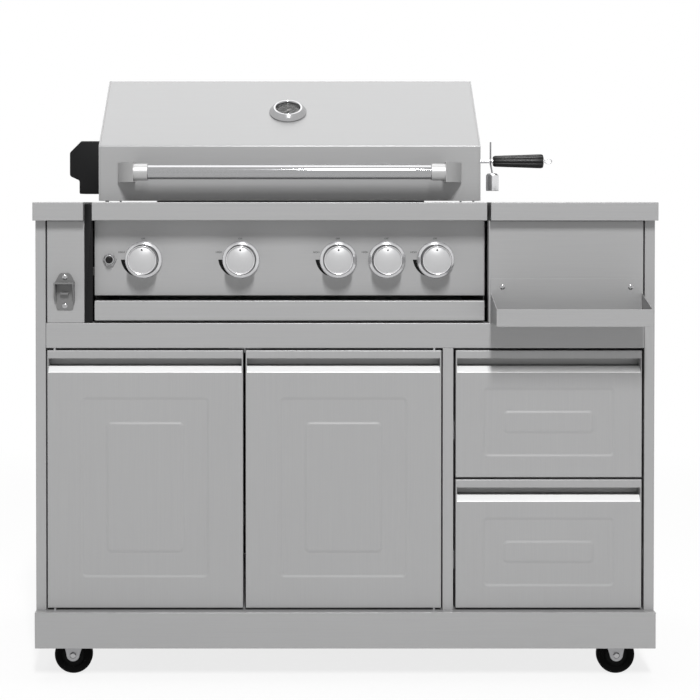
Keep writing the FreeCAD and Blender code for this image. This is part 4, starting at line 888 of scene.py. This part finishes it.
eye_centre = (x1 - 8.9, *SPIT[1:])
eye = wire_ring(eye_centre, (0.0, 1.0, 0.0), 7.6, 1.2)
eye[0][..., 2] = SPIT[2] * MM + 0.66 * (eye[0][..., 2] - SPIT[2] * MM)
stalk = turned([(-3.0, 0.0), (-3.0, 1.2), (2.6, 1.2), (2.6, 0.0)], (handle_end, *SPIT[1:]), ALONG, 20)
make_piece("handle_eye", [eye, stalk], rod_chrome, "spit")
print("grip %.0f mm long, with its eye %.0f mm" % (handle_end - x0, x1 - x0))

# %% [markdown]
# The rod runs from the motor to the handle. The counterweight hangs from a wire whose loop goes round
# the rod. The wire could be one bent curve, but two straight lengths and a ring show the same bend
# with far fewer faces. It leans a little, as a weight that hangs by hand does.

# %% Rod and counterweight
x0, x1 = limits("spit_rod")[:2]
rod = rounded([(x0, 0.0), (x0, 4.2), (x1 + 3.0, 4.2), (x1 + 3.0, 0.0)], [0, 1.0, 0, 0], closed=False)
make_piece("rod", [turned(rod, SPIT, ALONG, 48)], rod_chrome, "spit", ("spit_rod",))

x0, x1, _, _, z0, z1 = limits("counterweight")
SWING = 4.0
HANG = ((x0 + x1) / 2, SPIT[1], 0.0)
up = (0.0, 0.0, 1.0)
weight = rounded([(z0, 0.0), (z0, 13.5), (z0 + 33.0, 13.5), (z0 + 37.0, 10.0), (z0 + 37.0, 0.0)],
                 [0, 1.5, 3.0, 2.0, 0], closed=False)
body_of_weight = turned(weight, (HANG[0] + SWING, SPIT[1], 0.0), up, 64)
make_piece("weight", [body_of_weight], rod_chrome, "spit", ("counterweight",))

upper = rounded([(SPIT[2] + 6.0, 0.0), (SPIT[2] + 6.0, 1.7), (z1, 1.7), (z1, 0.0)], [0, 0.3, 0.8, 0],
                closed=False)
lower = [(0.0, 0.0), (0.0, 1.7), (22.0, 1.7), (22.0, 0.0)]
foot = (HANG[0] + SWING, SPIT[1], z0 + 36.0)
wires = [turned(upper, HANG, up, 20), turned(lower, foot, (-SWING, 0.0, 20.5), 20),
         wire_ring((HANG[0], *SPIT[1:]), ALONG, 6.0, 1.7)]
make_piece("weight_wire", wires, wire_grey, "spit")
print("the weight hangs %.0f mm under the rod" % (SPIT[2] - z0))

# %% [markdown]
# Round screw heads with a socket hold the opener and the condiment tray. Small fasteners could be
# left to a bump, but they catch the light and show from the side. Their places follow the tray's and
# the opener's own limits.

# %% Screws
PANEL_FACE, SHEET, OPENER_PLATE = 20.0, 1.5, 2.5
tray_left, tray_right = limits("condiment_tray")[:2]
tray_bottom = limits("condiment_tray")[4]
opener_limits = limits("bottle_opener")
opener_x = sum(opener_limits[:2]) / 2
heads = [screw(x, PANEL_FACE - SHEET, tray_bottom + 71.0, 5.4, 2.4)
         for x in (tray_left + 23.25, tray_right - 23.25)]
heads += [screw(opener_x, PANEL_FACE - OPENER_PLATE, z, 5.4, 2.4)
          for z in (opener_limits[5] - 8.0, opener_limits[4] + 8.0)]
make_piece("screw_heads", heads, gauge_chrome, "cabinet", ("panel_screws",))
print(len(heads), "screw heads")

# %% [markdown]
# A caster wheel is a crowned rubber tyre moulded on a plastic hub, recessed on both sides. The
# construction wheel has flat facets, so both are turned again, finely, and ride on the wheel's own
# body. They are closed profiles, so the axle's bore stays open.

# %% Wheels
CASTERS = ("front_left", "front_right", "rear_left", "rear_right")
TO_BACK = (0.0, 1.0, 0.0)
WHEEL_RADIUS = 37.5


def wheel_middle(name):
    """A wheel's middle point, and half its width."""
    x0, x1, d0, d1, _, _ = limits("caster_wheel_" + name)
    return ((x0 + x1) / 2, (d0 + d1) / 2, WHEEL_RADIUS), (d1 - d0) / 2


for name in CASTERS:
    centre, half = wheel_middle(name)
    tyre = rounded([(-half + 1.5, 22.0), (-half, 24.0), (-half, 33.0), (-half + 5.0, 37.4),
                    (half - 5.0, 37.4), (half, 33.0), (half, 24.0), (half - 1.5, 22.0)],
                   [0, 1.0, 3.0, 4.0, 4.0, 3.0, 1.0, 0])
    hub = rounded([(-half + 0.2, 4.2), (-half + 0.2, 9.0), (-half + 3.5, 11.0), (-half + 3.5, 20.0),
                   (-half + 1.0, 22.6), (half - 1.0, 22.6), (half - 3.5, 20.0), (half - 3.5, 11.0),
                   (half - 0.2, 9.0), (half - 0.2, 4.2)], 0.8)
    wheel = "caster_wheel_" + name
    body = nodes[wheel]["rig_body"]
    make_piece("tyre_" + name, [turned(tyre, centre, TO_BACK, 96, True)], rubber, body, (wheel,))
    make_piece("hub_" + name, [turned(hub, centre, TO_BACK, 64, True)], hub_plastic, body)
print("wheels at", [[round(value) for value in wheel_middle(name)[0]] for name in CASTERS])

# %% [markdown]
# A fork is pressed from plate: two cheeks with a round foot under the axle, a web over them that the
# kingpin goes through, and the axle. Bevelling the faceted construction fork would keep its facets,
# so each cheek is cut to a smooth outline. All of it is mirrored by one sign for the other side.

# %% Forks
def cheek_outline(x, pin, out, top):
    """A half circle of 13 mm under the axle, joined by rounded corners to the web's two ends."""
    angle = np.radians(np.linspace(-90.0, 90.0, 19))
    foot = np.stack([x + 13.0 * np.sin(angle), 38.5 - 13.0 * np.cos(angle)], axis=-1)
    upper = [(x + out * 17.0, 56.5), (x + out, top - 0.3), (pin - out * 19.7, top - 0.3),
             (pin - out * 19.7, top - 9.4), (pin, top - 21.7)]
    bends = [6, 3, 3, 3, 8]
    if out < 0:
        upper, bends = upper[::-1], bends[::-1]
    shoulder = rounded([foot[-1], *upper, foot[0]], [0, *bends, 0], closed=False)
    return np.vstack([foot, shoulder[1:-1]])


for name in CASTERS:
    centre, half = wheel_middle(name)
    x, deep, _ = centre
    out = math.copysign(1.0, x)
    inner_end, outer_end, _, _, _, top = limits("caster_fork_" + name)
    web_x = (inner_end + 1.0, x) if out > 0 else (x, outer_end - 1.0)
    reach = half + 4.0
    cheek = cheek_outline(x, x - out * 25.0, out, top)
    web = block_outline(*web_x, deep - reach + 0.6, deep + reach - 0.6, 3.0)
    axle = [(-half - 2.0, 0.0), (-half - 2.0, 3.9), (half + 2.0, 3.9), (half + 2.0, 0.0)]
    fork = [cut_plate(cheek, deep - reach + 0.1, deep - reach + 2.5, 0.8, "y"),
            cut_plate(cheek, deep + reach - 2.5, deep + reach - 0.1, 0.8, "y"),
            cut_plate(web, top - 9.0, top - 0.3, 0.8, "z"), turned(axle, centre, TO_BACK, 32)]
    make_piece("fork_" + name, fork, fork_zinc, nodes["caster_fork_" + name]["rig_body"],
               ("caster_fork_" + name,))
print(len(CASTERS), "forks, each with", len(cheek), "points round a cheek")

# %% [markdown]
# A domed nut on a thin washer closes each end of every axle. A hexagon would be truer to some nuts,
# but the photograph shows a small round one, so both are turned, outward from the cheek.

# %% Axle nuts
nut = rounded([(0.0, 0.0), (0.0, 6.4), (1.4, 6.4), (3.6, 4.6), (4.0, 2.5), (4.0, 0.0)],
              [0, 0.2, 0.6, 1, 0.6, 0], closed=False)
washer = [(0.0, 0.0), (0.0, 6.45), (0.5, 6.45), (0.5, 0.0)]
for name in CASTERS:
    (x, deep, height), half = wheel_middle(name)
    nuts = [turned(profile, (x, deep + side * (half + 3.8), height), (0.0, side, 0.0), 32)
            for side in (-1.0, 1.0) for profile in (nut, washer)]
    make_piece("nuts_" + name, nuts, gauge_chrome, nodes["caster_fork_" + name]["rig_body"])
print("nuts on both ends of", len(CASTERS), "axles")

# %% [markdown]
# The back sheet is screwed on all round its rim, seven screws to a long side. Placing them by hand
# would take longer than counting: two evenly spaced rows across and two upright give every place.

# %% Screws of the back sheet
x0, x1, d0, d1, z0, z1 = limits("back_panel")
across = np.linspace(x0 + 12.0, x1 - 12.0, 7)
upright = np.linspace(z0 + 12.0, z1 - 12.0, 5)[1:-1]
rim_places = [(x, z) for z in (z0 + 12.0, z1 - 12.0) for x in across]
rim_places += [(x, z) for x in (x0 + 12.0, x1 - 12.0) for z in upright]
rim_screws = [screw(x, d1, z, 4.2, 2.0, TO_BACK) for x, z in rim_places]
make_piece("back_screws", rim_screws, zinc, "cabinet")
print(len(rim_screws), "screws round the back sheet")

# %% [markdown]
# Gas leaves a burner tube through two rows of small ports. Drilling them with Booleans would add
# thousands of faces that nobody sees from a step away, so each is a dark disc that follows the tube's
# curve, just off its surface.

# %% Burner ports
def port_rows(x, depths, height, radius):
    """Discs of 1.5 mm on both upper flanks, 35 degrees off the top: at angle t of a disc's rim, the
    point is 1.5 * sin t along the tube and 1.5 * cos t / radius round it."""
    angle = np.linspace(0.0, 2 * np.pi, 8, endpoint=False)
    lean = np.radians(35.0) * np.array([-1.0, 1.0])[:, None, None]
    depth = depths[None, :, None] + 1.5 * np.sin(angle)[None, None, :]
    swing = lean + 1.5 * np.cos(angle)[None, None, :] / radius
    reach = radius + 0.15
    points = place(x + reach * np.sin(swing), depth, height + reach * np.cos(swing))
    count = 2 * len(depths)
    return points, np.arange(count * 8).reshape(count, 8).tolist()


tube_limits = limits("burner_tubes")
tube_height = tube_limits[5] - 16.0
depths = np.arange(130.0, 420.0, 9.0)
ports = [port_rows(x, depths, tube_height, 16.0) for name, x in KNOBS.items() if name != "knob_4"]
make_piece("burner_ports", ports, cast_iron, "cabinet")
print(2 * len(depths) * len(ports), "ports")

# %% [markdown]
# The gap beside the grill head looks black in the photograph, because little light gets into it. Real
# light would need a far darker room, so a thin black strip stands in the gap, behind the fronts. It is
# no piece of the real object.

# %% Dark shade in the slot beside the grill head
slot_left, slot_right = limits("left_worktop")[1] + 0.5, limits("grill_frame")[0] - 0.5
slot = block_outline(slot_left, slot_right, limits("grill_frame")[4] + 2.0, 931.0)
make_piece("slot_shade", [cut_plate(slot, 21.0, 23.0, 0.3, "y")], black_plastic, "cabinet")
print("slot %.0f mm wide" % (slot_right - slot_left))

# %% [markdown]
# What is left keeps its construction shape: the back sheet, the burner tubes, the door pivots, the
# firebox and the rear burner. They are flat, round or hidden, so a new surface would add nothing, and
# they only take a finish.

# %% Finishes of the parts that keep their shape
for name, material in {"back_panel": steel_z, "burner_tubes": fire_steel, "door_pivots": zinc,
                       "firebox": fire_steel, "rear_burner": tile_white}.items():
    finish_node(name, material)
print("nodes without a new surface have a finish")

# %% [markdown]
# The photograph seems to be taken from 3.5 m, level with the worktop and a little left of the middle,
# since the worktop's top face doesn't show. Pitching the camera down to frame the object would make
# its uprights lean, so it pitches by one degree only, and the lens is shifted for the rest.

# %% Camera
CAMERA_PLACE = Vector((-0.0885, front - 3.5, 0.935))
FOCAL_PIXELS = 1797.4
FRAME_PIXELS = 700.0
SENSOR = 36.0
PITCH = math.radians(1.0)
AXIS_PIXEL = (300.0, 202.1)

camera = bpy.data.objects.new("camera", bpy.data.cameras.new("camera"))
bpy.context.scene.collection.objects.link(camera)
camera.location = CAMERA_PLACE
camera.rotation_euler = (math.pi / 2 - PITCH, 0.0, 0.0)
camera.data.sensor_width = SENSOR
camera.data.lens = SENSOR * FOCAL_PIXELS / FRAME_PIXELS
level_pixel = FRAME_PIXELS / 2 - FOCAL_PIXELS * math.tan(PITCH)
camera.data.shift_x = (FRAME_PIXELS / 2 - AXIS_PIXEL[0]) / FRAME_PIXELS
camera.data.shift_y = (AXIS_PIXEL[1] - level_pixel) / FRAME_PIXELS
camera.data.clip_start = 0.05
camera.data.clip_end = 60.0
bpy.context.scene.camera = camera
print("lens %.2f shift %.4f %.4f" % (camera.data.lens, camera.data.shift_x, camera.data.shift_y))

# %% [markdown]
# Steel shows its surroundings, so light is half of its looks. Small lamps would give hard shadows and
# a sky would tint the metal. One upright strip at the upper front throws the soft shadows under the
# knobs, the handle and the tray, and a broad box overhead is what the sloped hood and the slanted
# lips mirror.

# %% Lamps
def lamp(name, spot, aim, size, power):
    """A rectangle of light at a spot, turned to face the point that it is aimed at."""
    light = bpy.data.lights.new(name, "AREA")
    light.shape = "RECTANGLE"
    light.size, light.size_y = size
    light.energy = power
    holder = bpy.data.objects.new(name, light)
    bpy.context.scene.collection.objects.link(holder)
    holder.location = spot
    holder.rotation_euler = (Vector(aim) - Vector(spot)).to_track_quat("-Z", "Y").to_euler()


lamp("key", (0.3, -6.2, 6.3), (0.0, -0.2, 0.75), (0.6, 2.2), 660.0)
lamp("overhead", (0.0, 0.7, 3.4), (0.0, 0.3, 0.9), (3.8, 2.4), 53.0)
print("two lamps")

# %% [markdown]
# The background is white, but a white world would also flood the object with light. The Light Path
# node tells the rays apart: what the camera sees, and what metal and glass mirror or let through, gets
# the full white, and everything else a fifth of it.

# %% White world
world = bpy.data.worlds.new("studio")
bpy.context.scene.world = world
world.use_nodes = True
tree = world.node_tree
background = tree.nodes["Background"]
background.inputs["Color"].default_value = (1.0, 1.0, 1.0, 1.0)
path = tree.nodes.new("ShaderNodeLightPath")
seen = tree.nodes.new("ShaderNodeMath")
seen.operation = "MAXIMUM"
tree.links.new(path.outputs["Is Camera Ray"], seen.inputs[0])
tree.links.new(path.outputs["Is Glossy Ray"], seen.inputs[1])
also = tree.nodes.new("ShaderNodeMath")
also.operation = "MAXIMUM"
tree.links.new(seen.outputs[0], also.inputs[0])
tree.links.new(path.outputs["Is Transmission Ray"], also.inputs[1])
level = tree.nodes.new("ShaderNodeMapRange")
level.inputs["To Min"].default_value = 0.20
level.inputs["To Max"].default_value = 1.0
tree.links.new(also.outputs[0], level.inputs["Value"])
tree.links.new(level.outputs[0], background.inputs["Strength"])
print("world white for the camera, %.2f for the rest" % level.inputs["To Min"].default_value)

# %% [markdown]
# The floor is pale and has to meet the white background without a line, and still hold the object's
# shadow. Plain white paint would show its far edge. A Mix Shader blends the paint with pure white,
# more of it the further from the object, and only for rays that see the floor directly or mirrored.

# %% Floor
floor_mesh = bpy.data.meshes.new("floor")
reach = 14.0
floor_mesh.from_pydata([(-reach, -reach, 0), (reach, -reach, 0), (reach, reach, 0), (-reach, reach, 0)],
                       [], [(0, 1, 2, 3)])
floor = bpy.data.objects.new("floor", floor_mesh)
bpy.context.scene.collection.objects.link(floor)
floor_finish = Finish("floor_pale", (0.93, 0.93, 0.93), 0.8)
eyes = floor_finish.node("ShaderNodeLightPath")
camera_ray, glossy_ray, glass_ray = [Amount(floor_finish, eyes.outputs[kind]) for kind in
                                     ("Is Camera Ray", "Is Glossy Ray", "Is Transmission Ray")]
watched = (camera_ray + glossy_ray + glass_ray).between(0.0, 1.0)
length = floor_finish.node("ShaderNodeVectorMath", {"operation": "LENGTH"}, [floor_finish.spot()])
whiteness = Amount(floor_finish, length.outputs["Value"]).between(0.9, 3.2) * 0.20 + 0.80
white = floor_finish.node("ShaderNodeEmission", None, {"Color": (1.0, 1.0, 1.0, 1.0), "Strength": 1.0})
shown = floor_finish.node("ShaderNodeMixShader", None,
                          [watched * whiteness, floor_finish.shader.outputs[0], white.outputs[0]])
output = floor_finish.tree.nodes["Material Output"]
floor_finish.tree.links.new(shown.outputs[0], output.inputs["Surface"])
floor_mesh.materials.append(floor_finish.material)
print("floor %.0f m wide" % (2 * reach))

# %% [markdown]
# The Standard view shows a colour as it is written. Other views would dim the whites for effect.

# %% Closing the scene
bpy.context.scene.view_settings.view_transform = "Standard"
